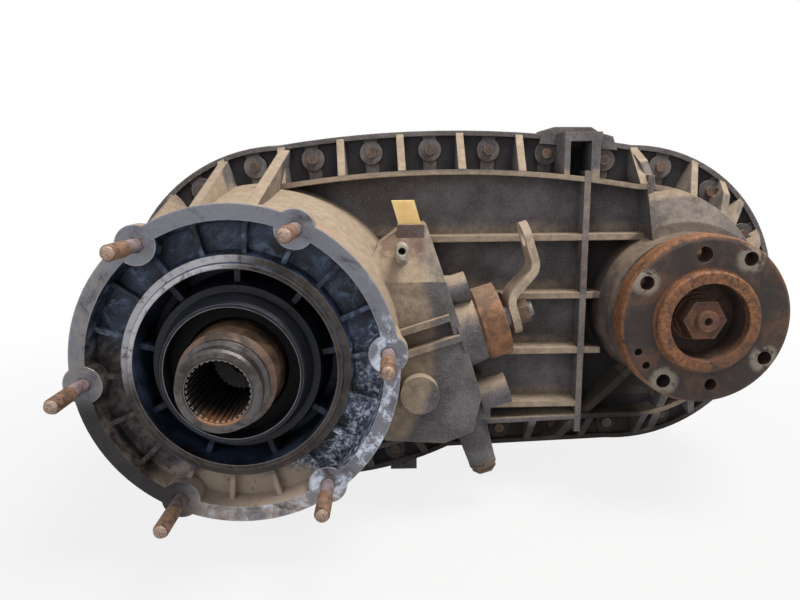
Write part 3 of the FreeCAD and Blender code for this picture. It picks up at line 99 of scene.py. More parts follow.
def feed(tree, socket, value):
    """Joins another socket to this one, or sets its number or colour."""
    if isinstance(value, bpy.types.NodeSocket):
        tree.links.new(value, socket)
    elif isinstance(value, tuple) and socket.type == "RGBA":
        socket.default_value = (*value, 1.0)
    else:
        socket.default_value = value


def reckon(tree, how, first, second=0.5, clamp=False):
    """One step of arithmetic between two numbers."""
    step = tree.nodes.new("ShaderNodeMath")
    step.operation = how
    step.use_clamp = clamp
    feed(tree, step.inputs[0], first)
    feed(tree, step.inputs[1], second)
    return step.outputs[0]


def gather(tree, how, amounts):
    """Several amounts taken one after another by the same arithmetic."""
    result = amounts[0]
    for amount in amounts[1:]:
        result = reckon(tree, how, result, amount)
    return result


def either(tree, *amounts):
    """The largest of several amounts, which holds where any of them does."""
    return gather(tree, "MAXIMUM", amounts)


def both(tree, *amounts):
    """The product of several amounts, which holds where all of them do."""
    return gather(tree, "MULTIPLY", amounts)


def clear_rays(tree):
    """How far a ray is one that shows the backdrop: from the view, a mirror or glass."""
    path = tree.nodes.new("ShaderNodeLightPath")
    return either(tree, *(path.outputs[kind] for kind in (
        "Is Camera Ray", "Is Glossy Ray", "Is Transmission Ray")))


def mixed(tree, share, plain, bright, output):
    """Sends an output a plain shader and, by its share, a bright one."""
    choose = tree.nodes.new("ShaderNodeMixShader")
    tree.links.new(share, choose.inputs[0])
    tree.links.new(plain.outputs[0], choose.inputs[1])
    tree.links.new(bright.outputs[0], choose.inputs[2])
    tree.links.new(choose.outputs[0], output.inputs["Surface"])


def shining(tree, kind, colour, strength):
    """A shader that gives off a colour by itself."""
    shader = tree.nodes.new(kind)
    feed(tree, shader.inputs["Color"], colour)
    shader.inputs["Strength"].default_value = strength
    return shader


world = bpy.data.worlds.new("pale_surround")
world.use_nodes = True
bpy.context.scene.world = world
surround = world.node_tree
ambient = surround.nodes["Background"]
feed(surround, ambient.inputs["Color"], AMBIENT)
ambient.inputs["Strength"].default_value = AMBIENT_STRENGTH
mixed(surround, clear_rays(surround), ambient,
      shining(surround, "ShaderNodeBackground", WHITE, 1.0), surround.nodes["World Output"])


def new_finish(name):
    """A new finish: its material, its node tree and its shader."""
    material = bpy.data.materials.new(name)
    material.use_nodes = True
    tree = material.node_tree
    return material, tree, tree.nodes["Principled BSDF"]


bpy.ops.object.select_all(action="DESELECT")
bpy.ops.mesh.primitive_plane_add(size=FLOOR_SIZE, location=(0.1, 0.1, FLOOR_Z))
floor = bpy.context.object
floor.name = "studio_floor"
floor_finish, tree, shader = new_finish("pale_floor")
feed(tree, shader.inputs["Base Color"], FLOOR_GREY)
shader.inputs["Roughness"].default_value = 0.9
# the floor shows its shadow near the unit and fades to plain white farther off
spread = tree.nodes.new("ShaderNodeVectorMath")
spread.operation = "LENGTH"
tree.links.new(tree.nodes.new("ShaderNodeTexCoord").outputs["Object"], spread.inputs[0])
fade = tree.nodes.new("ShaderNodeMapRange")
fade.interpolation_type = "SMOOTHSTEP"
tree.links.new(spread.outputs["Value"], fade.inputs["Value"])
for socket, amount in (("From Min", 0.25), ("From Max", 0.95), ("To Min", 0.84), ("To Max", 1.0)):
    fade.inputs[socket].default_value = amount
mixed(tree, both(tree, clear_rays(tree), fade.outputs["Result"]), shader,
      shining(tree, "ShaderNodeEmission", WHITE, 1.0), tree.nodes["Material Output"])
floor.data.materials.append(floor_finish)


# ---------------------------------------------------------------- front casing
# One sand-cast aluminium casting: the ribbed snout with its mounting face, the shift housing
# and the ribbed wall out to the split flange. Its skin is rough and grey, with dust on what
# faces up, painted shade in the corners and corrosion on the machined face.
def rise(tree, value, low, high):
    """0 below low, 1 above high and a smooth slope between; high may be the lower one."""
    step = tree.nodes.new("ShaderNodeMapRange")
    step.interpolation_type = "SMOOTHSTEP"
    feed(tree, step.inputs["Value"], value)
    if low <= high:
        step.inputs["From Min"].default_value = low
        step.inputs["From Max"].default_value = high
    else:
        step.inputs["From Min"].default_value = high
        step.inputs["From Max"].default_value = low
        step.inputs["To Min"].default_value = 1.0
        step.inputs["To Max"].default_value = 0.0
    return step.outputs["Result"]


def within(tree, value, span):
    """1 in the middle of a span and 0 outside it, with a smooth slope at each end.

    A span is where the first slope starts and ends, then where the last one does."""
    start, full, last, end = span
    return both(tree, rise(tree, value, start, full), rise(tree, value, end, last))


def total(tree, *amounts):
    """The sum of several amounts."""
    return gather(tree, "ADD", amounts)


def lay(tree, amount, under, over):
    """One colour laid over another by an amount."""
    step = tree.nodes.new("ShaderNodeMix")
    step.data_type = "RGBA"
    feed(tree, step.inputs["Factor"], amount)
    feed(tree, step.inputs["A"], under)
    feed(tree, step.inputs["B"], over)
    return step.outputs["Result"]


def coat(tree, under, over, share, *places):
    """A colour laid over another, by its share, where all of the places hold."""
    return lay(tree, both(tree, *places, share), under, over)


def place_in(tree):
    """The place on the object, its separate x, y and z, and its facing."""
    where = tree.nodes.new("ShaderNodeTexCoord")
    parts = tree.nodes.new("ShaderNodeSeparateXYZ")
    facing = tree.nodes.new("ShaderNodeSeparateXYZ")
    tree.links.new(where.outputs["Object"], parts.inputs[0])
    tree.links.new(where.outputs["Normal"], facing.inputs[0])
    return where.outputs["Object"], list(parts.outputs), list(facing.outputs)


def apart(tree, first, second, x, z):
    """The distance of a spot from a line along the shafts at x, z."""
    across = reckon(tree, "SUBTRACT", first, x)
    up = reckon(tree, "SUBTRACT", second, z)
    return reckon(tree, "SQRT", total(tree, both(tree, across, across), both(tree, up, up)))


def grain(tree, where, scale, detail=4.0, roughness=0.6, warp=0.0):
    """Cloudy noise of about 1/scale metres."""
    step = tree.nodes.new("ShaderNodeTexNoise")
    tree.links.new(where, step.inputs["Vector"])
    step.inputs["Scale"].default_value = scale
    step.inputs["Detail"].default_value = detail
    step.inputs["Roughness"].default_value = roughness
    step.inputs["Distortion"].default_value = warp
    return step.outputs["Fac"]


def nooks(tree, reach, inside=False):
    """1 in the open and 0 deep in a corner, or on an edge when looked at from inside."""
    step = tree.nodes.new("ShaderNodeAmbientOcclusion")
    step.samples = 6
    step.inside = inside
    step.only_local = True
    step.inputs["Distance"].default_value = reach
    return step.outputs["AO"]


def sharp_edges(tree, reach):
    """1 on the sharp edges, where a skin is rubbed thin; on the input shaft's nose they carry a
    painted highlight.
    """
    return rise(tree, nooks(tree, reach, inside=True), 0.8, 0.4)


def relief(tree, shader, heights, radius=0.0):
    """Bumps laid one over another from (height, depth in metres) pairs."""
    before = None
    if radius:
        soft = tree.nodes.new("ShaderNodeBevel")
        soft.samples = 4
        soft.inputs["Radius"].default_value = radius
        before = soft.outputs[0]
    for height, depth in heights:
        step = tree.nodes.new("ShaderNodeBump")
        step.inputs["Distance"].default_value = depth
        tree.links.new(height, step.inputs["Height"])
        if before:
            tree.links.new(before, step.inputs["Normal"])
        before = step.outputs[0]
    tree.links.new(before, shader.inputs["Normal"])


CAST_GREY = (0.205, 0.190, 0.198)
CAST_DARK = (0.100, 0.091, 0.096)
CAST_BARE = (0.34, 0.32, 0.315)
CAST_PITS = (0.05, 0.046, 0.048)
DUST_TAN = (0.36, 0.275, 0.198)
DUST_PALE = (0.50, 0.400, 0.300)
DUST_SPECKS = (0.21, 0.16, 0.115)
# the near-black of painted shade in corners and nooks
NOOK_SHADE = (0.022, 0.018, 0.015)


def cast_skin(tree, where, facing, dust_share, corner_shade_share, settled=0.0):
    """The colour of a weathered casting, and how much dust lies on it."""
    cloud = grain(tree, where, 24.0, 6.0, 0.65)
    mottle = grain(tree, where, 150.0, 5.0, 0.72, 0.3)
    speck = grain(tree, where, 760.0, 4.0, 0.8)
    skin = lay(tree, rise(tree, cloud, 0.36, 0.66), CAST_DARK, CAST_GREY)
    skin = coat(tree, skin, CAST_DARK, 0.55, rise(tree, mottle, 0.50, 0.68))
    skin = coat(tree, skin, CAST_BARE, 0.6, rise(tree, speck, 0.52, 0.68))
    skin = coat(tree, skin, CAST_PITS, 0.7, rise(tree, speck, 0.47, 0.34))
    dusty = total(tree, facing[2], both(tree, cloud, 0.45), both(tree, mottle, 0.45), settled)
    dust = both(tree, rise(tree, dusty, 0.62, 1.20), dust_share)
    tan = lay(tree, rise(tree, mottle, 0.34, 0.74), DUST_TAN, DUST_PALE)
    tan = coat(tree, tan, DUST_SPECKS, 0.4, rise(tree, speck, 0.45, 0.36))
    skin = lay(tree, dust, skin, tan)
    # the sharp edges are painted paler tan: dust together with a painted highlight
    edge = rise(tree, nooks(tree, 0.003, inside=True), 0.75, 0.35)
    skin = coat(tree, skin, DUST_TAN, 0.40, edge)
    # painted shade: corners that do not face up are darkened towards near-black
    sheltered = rise(tree, facing[2], 0.75, 0.25)
    corner = rise(tree, nooks(tree, 0.024), 0.58, 0.14)
    return coat(tree, skin, NOOK_SHADE, corner_shade_share, corner, sheltered), dust


front_finish, tree, shader = new_finish("weathered_front_casting")
where, (px, py, pz), facing = place_in(tree)
from_axis = apart(tree, px, pz, 0.0, 0.0)
frontward = reckon(tree, "MULTIPLY", facing[1], -1.0)
flat_on = rise(tree, frontward, 0.80, 0.95)
blotch = grain(tree, where, 34.0, 8.0, 0.72, 0.6)
fine = grain(tree, where, 260.0, 5.0, 0.7)
streak = grain(tree, where, 90.0, 7.0, 0.75, 0.5)

# dust on the crests of the wall's ribs, thinner on its two upright ribs
RIB_CREST_Y = (0.1035, 0.1055, 0.1080, 0.1095)
RIBBED_WALL_Z = (-0.082, -0.076, 0.122, 0.129)
UPRIGHT_RIBS_X = (0.257, 0.307)
CREST_DUST = 0.64
crests = both(tree, flat_on, within(tree, py, RIB_CREST_Y), within(tree, pz, RIBBED_WALL_Z),
              rise(tree, from_axis, 0.112, 0.118))
for rib_x in UPRIGHT_RIBS_X:
    gap = reckon(tree, "ABSOLUTE", reckon(tree, "SUBTRACT", px, rib_x))
    beside = rise(tree, gap, 0.0026, 0.0040)
    crests = both(tree, crests, total(tree, 0.55, both(tree, beside, 0.45)))

# dust on the wall just above each level rib
LEVEL_RIBS_Z = (0.072, 0.025, -0.021, -0.067)
ABOVE_RIB = (0.0, 0.002, 0.002, 0.020)
SHELF_Y = (0.112, 0.118, 0.127, 0.130)
SHELF_DUST = 0.55
shelves = total(tree, *(
    both(tree, within(tree, reckon(tree, "SUBTRACT", pz, rib_z), ABOVE_RIB), SHELF_DUST)
    for rib_z in LEVEL_RIBS_Z))
shelves = both(tree, shelves, within(tree, py, SHELF_Y))

# the snout's outside is painted tan, partly dust and partly painted light, all over but for its
# lower left, left darker as painted shade
SNOUT_REACH = (0.0985, 0.0995, 0.128, 0.142)
SNOUT_Y = (0.002, 0.004, 0.100, 0.112)
SNOUT_DUST_AND_LIGHT = 0.62
outside = both(tree, within(tree, from_axis, SNOUT_REACH), within(tree, py, SNOUT_Y))
snout_dust_and_light = both(tree, outside, rise(tree, total(tree, px, pz), -0.02, 0.05), SNOUT_DUST_AND_LIGHT)

# a little dust on the pads under the casing bolts
BOLT_PAD_Y = (0.1360, 0.1368, 0.1380, 0.1388)
PAD_DUST = 0.24
pads = both(tree, flat_on, within(tree, py, BOLT_PAD_Y))
settled = total(tree, both(tree, crests, CREST_DUST), shelves, snout_dust_and_light,
                both(tree, pads, PAD_DUST))
skin, _ = cast_skin(tree, where, facing, 0.92, 0.80, settled)

# painted shade in the pockets on the split flange between its webs
POCKET_Y = (0.1388, 0.1394, 0.1415, 0.1425)
POCKET_SHADE = (0.030, 0.029, 0.034)
skin = coat(tree, skin, POCKET_SHADE, 0.86, flat_on, within(tree, py, POCKET_Y))

# the deep bay left of the output boss is painted near-black: oil stain together with the painted
# shadow of the flange and boss
PAST_CRESTS_Y = (0.1075, 0.112)
BAY_X = (0.2585, 0.2605, 0.300, 0.330)
BAY_TOP_Z = (0.0700, 0.0660)
BAY_OIL_AND_SHADOW = (0.020, 0.017, 0.016)
bay_depth = either(tree, rise(tree, py, *PAST_CRESTS_Y),
                   both(tree, rise(tree, py, 0.086, 0.090), rise(tree, pz, -0.022, -0.030)))
skin = coat(tree, skin, BAY_OIL_AND_SHADOW, 0.93, within(tree, px, BAY_X), rise(tree, pz, *BAY_TOP_Z),
            bay_depth)

# the output boss is stained brown by the flange in front of it
OUTPUT_X, OUTPUT_Z = 0.333375, 0.0145
BOSS_REACH = (0.0705, 0.0685)
BOSS_BROWN = (0.060, 0.045, 0.038)
BOSS_TAN = (0.165, 0.115, 0.082)
boss = both(tree, rise(tree, apart(tree, px, pz, OUTPUT_X, OUTPUT_Z), *BOSS_REACH),
            rise(tree, py, 0.120, 0.112))
boss_tint = lay(tree, rise(tree, grain(tree, where, 60.0, 6.0, 0.7), 0.40, 0.62),
                BOSS_BROWN, BOSS_TAN)
skin = coat(tree, skin, boss_tint, 0.72, boss)

# the wall below its lowest rib is painted dark
UNDERSIDE = (0.036, 0.029, 0.025)
skin = coat(tree, skin, UNDERSIDE, 0.88, rise(tree, pz, -0.078, -0.096),
            rise(tree, px, 0.10, 0.13), rise(tree, py, *PAST_CRESTS_Y))

# inside the snout's mouth the cast skin is oil-dark, tinted blue as a painted sheen, with paler
# painted reflections streaked over the outer bays and painted shade in its corners, with brown
# oil on the left, salts low on the right and mud at the bottom
MOUTH_REACH = (0.0975, 0.0968)
MOUTH_Y = (0.062, 0.058)
OUTER_BAYS_REACH = (0.073, 0.077)
OIL_BLUE_SHEEN = (0.044, 0.062, 0.112)
OIL_BLACK_AND_SHADE = (0.010, 0.011, 0.014)
OIL_BROWN = (0.115, 0.088, 0.070)
OIL_SOOT = (0.022, 0.018, 0.017)
PALE_BLUE_REFLECTION = (0.17, 0.225, 0.34)
MUD = (0.42, 0.335, 0.265)
SALT = (0.66, 0.72, 0.84)
HUB_BLACK = (0.006, 0.006, 0.009)
mouth = both(tree, rise(tree, from_axis, *MOUTH_REACH), rise(tree, py, *MOUTH_Y))
outer_bays = rise(tree, from_axis, *OUTER_BAYS_REACH)
oily = lay(tree, rise(tree, blotch, 0.38, 0.60), OIL_BLACK_AND_SHADE, OIL_BLUE_SHEEN)
# painted reflection: paler blue streaks over the outer bays
oily = coat(tree, oily, PALE_BLUE_REFLECTION, 0.75, outer_bays, rise(tree, streak, 0.47, 0.66))
brown = lay(tree, rise(tree, streak, 0.42, 0.60), OIL_SOOT, OIL_BROWN)
left_side = rise(tree, px, -0.030, -0.066)
not_high = rise(tree, total(tree, pz, both(tree, streak, 0.06)), 0.070, 0.030)
oily = coat(tree, oily, brown, 0.88, left_side, outer_bays, not_high)
# painted shade: the mouth's corners are darkened to oil-black
oily = coat(tree, oily, OIL_BLACK_AND_SHADE, 0.85, rise(tree, nooks(tree, 0.010), 0.62, 0.20))
salt_side = total(tree, both(tree, reckon(tree, "SUBTRACT", px, pz), 2.2), blotch)
oily = coat(tree, oily, SALT, 0.9, outer_bays, rise(tree, salt_side, 0.62, 0.80),
            rise(tree, fine, 0.45, 0.60))
low = total(tree, pz, both(tree, blotch, -0.030))
mud = both(tree, rise(tree, low, -0.082, -0.098), outer_bays)
oily = lay(tree, both(tree, mud, rise(tree, streak, 0.30, 0.44)), oily, MUD)
oily = coat(tree, oily, HUB_BLACK, 0.92, rise(tree, from_axis, 0.0620, 0.0600),
            rise(tree, py, 0.034, 0.028))
skin = lay(tree, mouth, skin, oily)

# the machined mounting face: grey with pale edges, mud at its foot, salts low on the right
FACE_Y = (0.0008, 0.0004)
FACE_GREY = (0.205, 0.208, 0.238)
FACE_STAIN = (0.085, 0.080, 0.086)
FACE_MUD = (0.40, 0.325, 0.27)
FACE_TAN = (0.30, 0.27, 0.235)
FACE_EDGE = (0.62, 0.62, 0.66)
FACE_SOOT = (0.026, 0.023, 0.023)
face = both(tree, rise(tree, py, *FACE_Y), rise(tree, frontward, 0.9, 0.97))
machined = lay(tree, rise(tree, blotch, 0.34, 0.50), FACE_STAIN, FACE_GREY)
machined = coat(tree, machined, FACE_MUD, 0.7, rise(tree, low, -0.094, -0.106),
                rise(tree, streak, 0.40, 0.52))
machined = coat(tree, machined, FACE_TAN, 0.5, rise(tree, px, -0.050, -0.085),
                rise(tree, streak, 0.46, 0.56))
machined = lay(tree, both(tree, rise(tree, salt_side, 0.60, 0.85), rise(tree, streak, 0.48, 0.60)),
               machined, SALT)
machined = coat(tree, machined, FACE_EDGE, 0.6, sharp_edges(tree, 0.0016))
ragged_left = reckon(tree, "SUBTRACT", px, both(tree, streak, 0.03))
machined = coat(tree, machined, FACE_SOOT, 0.93, rise(tree, pz, -0.006, -0.030),
                rise(tree, ragged_left, -0.040, -0.062))
skin = lay(tree, face, skin, machined)

# the register: polished bright at the upper left, black-brown with oil elsewhere
REGISTER_REACH = (0.0655, 0.0662, 0.0755, 0.0765)
REGISTER_Y = (0.0060, 0.0050)
REGISTER_BLACK = (0.024, 0.019, 0.018)
REGISTER_BROWN = (0.070, 0.055, 0.048)
REGISTER_BRIGHT = (0.45, 0.44, 0.47)
REGISTER_EDGE = (0.46, 0.43, 0.41)
register = lay(tree, rise(tree, grain(tree, where, 60.0, 8.0, 0.75, 0.8), 0.40, 0.62),
               REGISTER_BLACK, REGISTER_BROWN)
upper_left = rise(tree, reckon(tree, "SUBTRACT", pz, px), 0.050, 0.085)
register = lay(tree, both(tree, upper_left, rise(tree, streak, 0.34, 0.50)), register,
               REGISTER_BRIGHT)
register = coat(tree, register, REGISTER_EDGE, 0.55, sharp_edges(tree, 0.0014))
stepped = both(tree, within(tree, from_axis, REGISTER_REACH), rise(tree, py, *REGISTER_Y),
               rise(tree, frontward, 0.30, 0.45))
skin = lay(tree, stepped, skin, register)

# a faint smear of pink marking paint on the snout's upper right
SMEAR_X = (0.050, 0.056, 0.072, 0.080)
SMEAR_Y = (0.012, 0.016, 0.030, 0.036)
SMEAR_Z = (0.068, 0.074)
SMEAR_PINK = (0.66, 0.27, 0.25)
skin = coat(tree, skin, SMEAR_PINK, 0.42, outside, within(tree, px, SMEAR_X),
            within(tree, py, SMEAR_Y), rise(tree, pz, *SMEAR_Z), rise(tree, streak, 0.40, 0.54))

# rust runs on the clip's seat and below the vent
SEAT_X = (0.092, 0.096, 0.124, 0.130)
SEAT_Y = (0.095, 0.090)
SEAT_Z = (0.060, 0.066, 0.092, 0.096)
SEAT_RUST = (0.150, 0.078, 0.060)
skin = coat(tree, skin, SEAT_RUST, 0.62, within(tree, px, SEAT_X), within(tree, pz, SEAT_Z),
            rise(tree, py, *SEAT_Y), rise(tree, streak, 0.38, 0.52))

feed(tree, shader.inputs["Base Color"], skin)
wet = both(tree, mouth, reckon(tree, "SUBTRACT", 1.0, mud))
rough = reckon(tree, "SUBTRACT", 0.80, both(tree, wet, 0.46))
rough = reckon(tree, "SUBTRACT", rough, both(tree, face, 0.28))
feed(tree, shader.inputs["Roughness"],
     reckon(tree, "ADD", rough, both(tree, fine, 0.14), clamp=True))
feed(tree, shader.inputs["Metallic"], total(tree, 0.06, both(tree, face, 0.4)))
shader.inputs["Specular IOR Level"].default_value = 0.26
relief(tree, shader, [(grain(tree, where, 620.0, 5.0, 0.7), 0.00030),
                      (grain(tree, where, 60.0, 4.0), 0.0012)], radius=0.0012)


def dress(name, material):
    """Gives a frame part a finish in place of its plain one."""
    part = nodes[name]
    part.data.materials.clear()
    part.data.materials.append(material)


dress("front_case", front_finish)

# ---------------------------------------------------------------- rear castings
# The rear casing, the bearing retainer and the extension housing are the same cast alloy,
# with less dust on it than the front one has.
rear_finish, tree, shader = new_finish("weathered_rear_casting")
where, _, facing = place_in(tree)
skin, dust = cast_skin(tree, where, facing, 0.7, 0.8)
feed(tree, shader.inputs["Base Color"], skin)
feed(tree, shader.inputs["Roughness"], total(tree, 0.62, both(tree, dust, 0.3)))
shader.inputs["Metallic"].default_value = 0.10
shader.inputs["Specular IOR Level"].default_value = 0.28
relief(tree, shader, [(grain(tree, where, 620.0, 5.0, 0.7), 0.0003),
                      (grain(tree, where, 60.0, 4.0), 0.001)], radius=0.0012)
for name in ("rear_case", "rear_retainer", "extension_housing"):
    dress(name, rear_finish)


# ---------------------------------------------------------------- rusty steel fittings
# Bare forged and turned steel that has rusted: flaky orange on top, brown-black below, and
# grey metal where it has been rubbed.
def rusted(name, rust, dark, bare, bareness, scale=1.0, dust_share=0.35, depth=0.00035):
    """A rusted steel finish; bareness is how much clean metal shows."""
    material, tree, shader = new_finish(name)
    where, _, facing = place_in(tree)
    cloud = grain(tree, where, 45.0 * scale, 8.0, 0.7, 0.4)
    fine = grain(tree, where, 380.0 * scale, 5.0, 0.7)
    skin = lay(tree, rise(tree, cloud, 0.38, 0.62), dark, rust)
    skin = lay(tree, rise(tree, fine, 0.50, 0.70), skin, dark)
    edge = both(tree, sharp_edges(tree, 0.0018), rise(tree, fine, 0.35, 0.6), 0.6)
    patch = rise(tree, grain(tree, where, 70.0 * scale, 6.0, 0.7, 0.5), 0.66 - bareness * 0.3,
                 0.74 - bareness * 0.3)
    worn = either(tree, edge, patch)
    skin = lay(tree, worn, skin, bare)
    dusty = rise(tree, total(tree, facing[2], cloud), 0.7, 1.5)
    skin = coat(tree, skin, DUST_TAN, dust_share, dusty)
    # painted shade: the corners are darkened to near-black
    skin = lay(tree, rise(tree, nooks(tree, 0.006), 0.5, 0.15), skin, NOOK_SHADE)
    feed(tree, shader.inputs["Base Color"], skin)
    feed(tree, shader.inputs["Metallic"], both(tree, worn, 0.55))
    feed(tree, shader.inputs["Roughness"], reckon(tree, "SUBTRACT", 0.82, both(tree, worn, 0.34)))
    relief(tree, shader, [(fine, depth), (cloud, depth * 1.6)], radius=0.0004)
    return material


# the output flange: brown-black on its face, orange on its rim and pilot, and rubbed to the
# metal round the bolt holes
FLANGE_BROWN = (0.100, 0.054, 0.036)
FLANGE_BLACK = (0.034, 0.026, 0.024)
FLANGE_PITS = (0.034, 0.024, 0.020)
FLANGE_RUST = (0.155, 0.066, 0.032)
FLANGE_ORANGE = (0.31, 0.138, 0.060)
FLANGE_RUBBED = (0.30, 0.262, 0.208)
FLANGE_EDGE = (0.38, 0.25, 0.17)
FLANGE_RIM = (0.0600, 0.0625)
PILOT_REACH = (0.0275, 0.0295, 0.0385, 0.0405)
PILOT_Y = (0.0565, 0.0555)
FLANGE_HOLES = 4
HOLE_CIRCLE = 0.054
FIRST_HOLE_ANGLE = 57.5
flange_rust, tree, shader = new_finish("rusted_flange")
where, (px, py, pz), facing = place_in(tree)
cloud = grain(tree, where, 42.0, 8.0, 0.72, 0.5)
fine = grain(tree, where, 420.0, 5.0, 0.72)
streak = grain(tree, where, 120.0, 6.0, 0.7, 0.4)
reach = apart(tree, px, pz, OUTPUT_X, OUTPUT_Z)
skin = lay(tree, rise(tree, cloud, 0.42, 0.64), FLANGE_BLACK, FLANGE_BROWN)
skin = coat(tree, skin, FLANGE_PITS, 0.55, rise(tree, fine, 0.54, 0.70))
orange = lay(tree, rise(tree, fine, 0.40, 0.62), FLANGE_RUST, FLANGE_ORANGE)
rim = either(tree, rise(tree, reach, *FLANGE_RIM),
             both(tree, within(tree, reach, PILOT_REACH), rise(tree, py, *PILOT_Y)))
# the rim's orange rust is laid strongest towards the upper left, partly as painted light
lit_upper_left = total(tree, reckon(tree, "SUBTRACT", pz, both(tree, px, 0.6)),
                  both(tree, streak, 0.05))
upper = total(tree, 0.22, both(tree, rise(tree, lit_upper_left, -0.225, -0.165), 0.78))
skin = lay(tree, both(tree, rim, rise(tree, streak, 0.34, 0.52), upper), skin, orange)
flat_on = rise(tree, reckon(tree, "MULTIPLY", facing[1], -1.0), 0.5, 0.8)
for turn in range(FLANGE_HOLES):
    angle = math.radians(FIRST_HOLE_ANGLE + 360 / FLANGE_HOLES * turn)
    gap = apart(tree, px, pz, OUTPUT_X + HOLE_CIRCLE * math.cos(angle),
                OUTPUT_Z + HOLE_CIRCLE * math.sin(angle))
    beside = rise(tree, total(tree, gap, both(tree, cloud, 0.012)), 0.0185, 0.0135)
    skin = coat(tree, skin, FLANGE_RUBBED, 0.8, beside, rise(tree, streak, 0.38, 0.50), flat_on)
# painted shade in the corners
skin = coat(tree, skin, NOOK_SHADE, 0.85, rise(tree, nooks(tree, 0.008), 0.5, 0.15))
skin = coat(tree, skin, FLANGE_EDGE, 0.55, sharp_edges(tree, 0.0015),
            rise(tree, fine, 0.40, 0.60))
feed(tree, shader.inputs["Base Color"], skin)
feed(tree, shader.inputs["Roughness"], total(tree, 0.56, both(tree, fine, 0.26)))
shader.inputs["Metallic"].default_value = 0.22
relief(tree, shader, [(fine, 0.00030), (streak, 0.0006)], radius=0.0006)

deep_rust = rusted("rusted_collar", rust=(0.36, 0.17, 0.085), dark=(0.12, 0.062, 0.036),
                   bare=(0.42, 0.33, 0.25), bareness=0.08, scale=1.4)
nut_rust = rusted("rusted_nut", rust=(0.21, 0.095, 0.055), dark=(0.085, 0.045, 0.032),
                  bare=(0.34, 0.22, 0.15), bareness=0.08, scale=1.5, dust_share=0.1)
bolt_rust = rusted("rusted_bolt", rust=(0.20, 0.125, 0.085), dark=(0.070, 0.052, 0.042),
                   bare=(0.30, 0.27, 0.25), bareness=0.12, scale=1.6)
lever_steel = rusted("dusty_lever_steel", rust=(0.58, 0.455, 0.335), dark=(0.33, 0.26, 0.19),
                     bare=(0.50, 0.44, 0.37), bareness=0.10, scale=1.5, dust_share=0.8)
for finish, names in (
        (flange_rust, ("front_output_flange",)),
        (nut_rust, ("flange_nut", "flange_washer", "output_slinger", "front_output_shaft")),
        (deep_rust, ("sector_collar",)),
        (bolt_rust, ("detent_plug", "case_bolts", "retainer_bolts", "extension_bolts",
                     "input_studs", "lever_nut")),
        (lever_steel, ("shift_lever",))):
    for name in names:
        dress(name, finish)

# ---------------------------------------------------------------- mounting studs
# Six M10 steel studs screwed into the snout's ears. The shank is plain with a pinkish bloom of
# old zinc, the outer end has a rolled thread full of rust, and the tip is rounded.
STUD_COUNT = 6
STUD_CIRCLE = 0.1
FIRST_STUD_ANGLE = 5
STUD_SIDES = 28
STUD_PITCH = 0.0015
STUD_TURNS = 15
THREAD_START = -0.0168
THREAD_ROOT = 0.00445
THREAD_CREST = 0.00500
SMOOTH_BELOW_ANGLE = 35
ZINC_DARK = (0.19, 0.125, 0.120)
ZINC_PINK = (0.36, 0.285, 0.305)
THREAD_BROWN = (0.095, 0.052, 0.036)
THREAD_RUST = (0.30, 0.175, 0.112)
GROOVE_BLACK = (0.040, 0.024, 0.018)
TIP_PALE = (0.50, 0.38, 0.31)
STUD_NOOK_SHADE = (0.060, 0.034, 0.024)


def drawn_out(name, middle, rings):
    """A round piece drawn along y from a disc by extruding it ring by ring, closed at the ends.

    Each ring is its place along y and its radius."""
    bpy.ops.object.select_all(action="DESELECT")
    bpy.ops.mesh.primitive_circle_add(
        vertices=STUD_SIDES, radius=rings[0][1], fill_type="NGON",
        location=(middle[0], rings[0][0], middle[1]), rotation=(math.pi / 2, 0, 0))
    piece = bpy.context.object
    piece.name = name
    bpy.ops.object.transform_apply(location=True, rotation=True, scale=True)
    bpy.ops.object.mode_set(mode="EDIT")
    bpy.ops.mesh.select_all(action="SELECT")
    for (last, wide), (place, radius) in zip(rings, rings[1:]):
        bpy.ops.mesh.extrude_region_move(
            TRANSFORM_OT_translate={"value": (0, place - last, 0)})
        bpy.ops.transform.resize(value=(radius / wide,) * 3,
                                 center_override=(middle[0], place, middle[1]))
    bpy.ops.mesh.select_all(action="SELECT")
    bpy.ops.mesh.normals_make_consistent(inside=False)
    bpy.ops.object.mode_set(mode="OBJECT")
    bpy.ops.object.shade_smooth_by_angle(angle=math.radians(SMOOTH_BELOW_ANGLE))
    bpy.ops.object.select_all(action="DESELECT")
    return piece


stud_rings = [(0.0200, 0.00470), (-0.0150, 0.00450), (-0.0165, 0.00452)]
for turn in range(STUD_TURNS):
    start = THREAD_START - STUD_PITCH * turn
    stud_rings += [(start - STUD_PITCH * share, radius) for share, radius in (
        (0.0, THREAD_ROOT), (0.35, THREAD_CREST), (0.55, THREAD_CREST), (0.90, THREAD_ROOT))]
stud_rings += [(-0.0398, 0.00440), (-0.0407, 0.00410), (-0.0415, 0.00330), (-0.0419, 0.00180)]

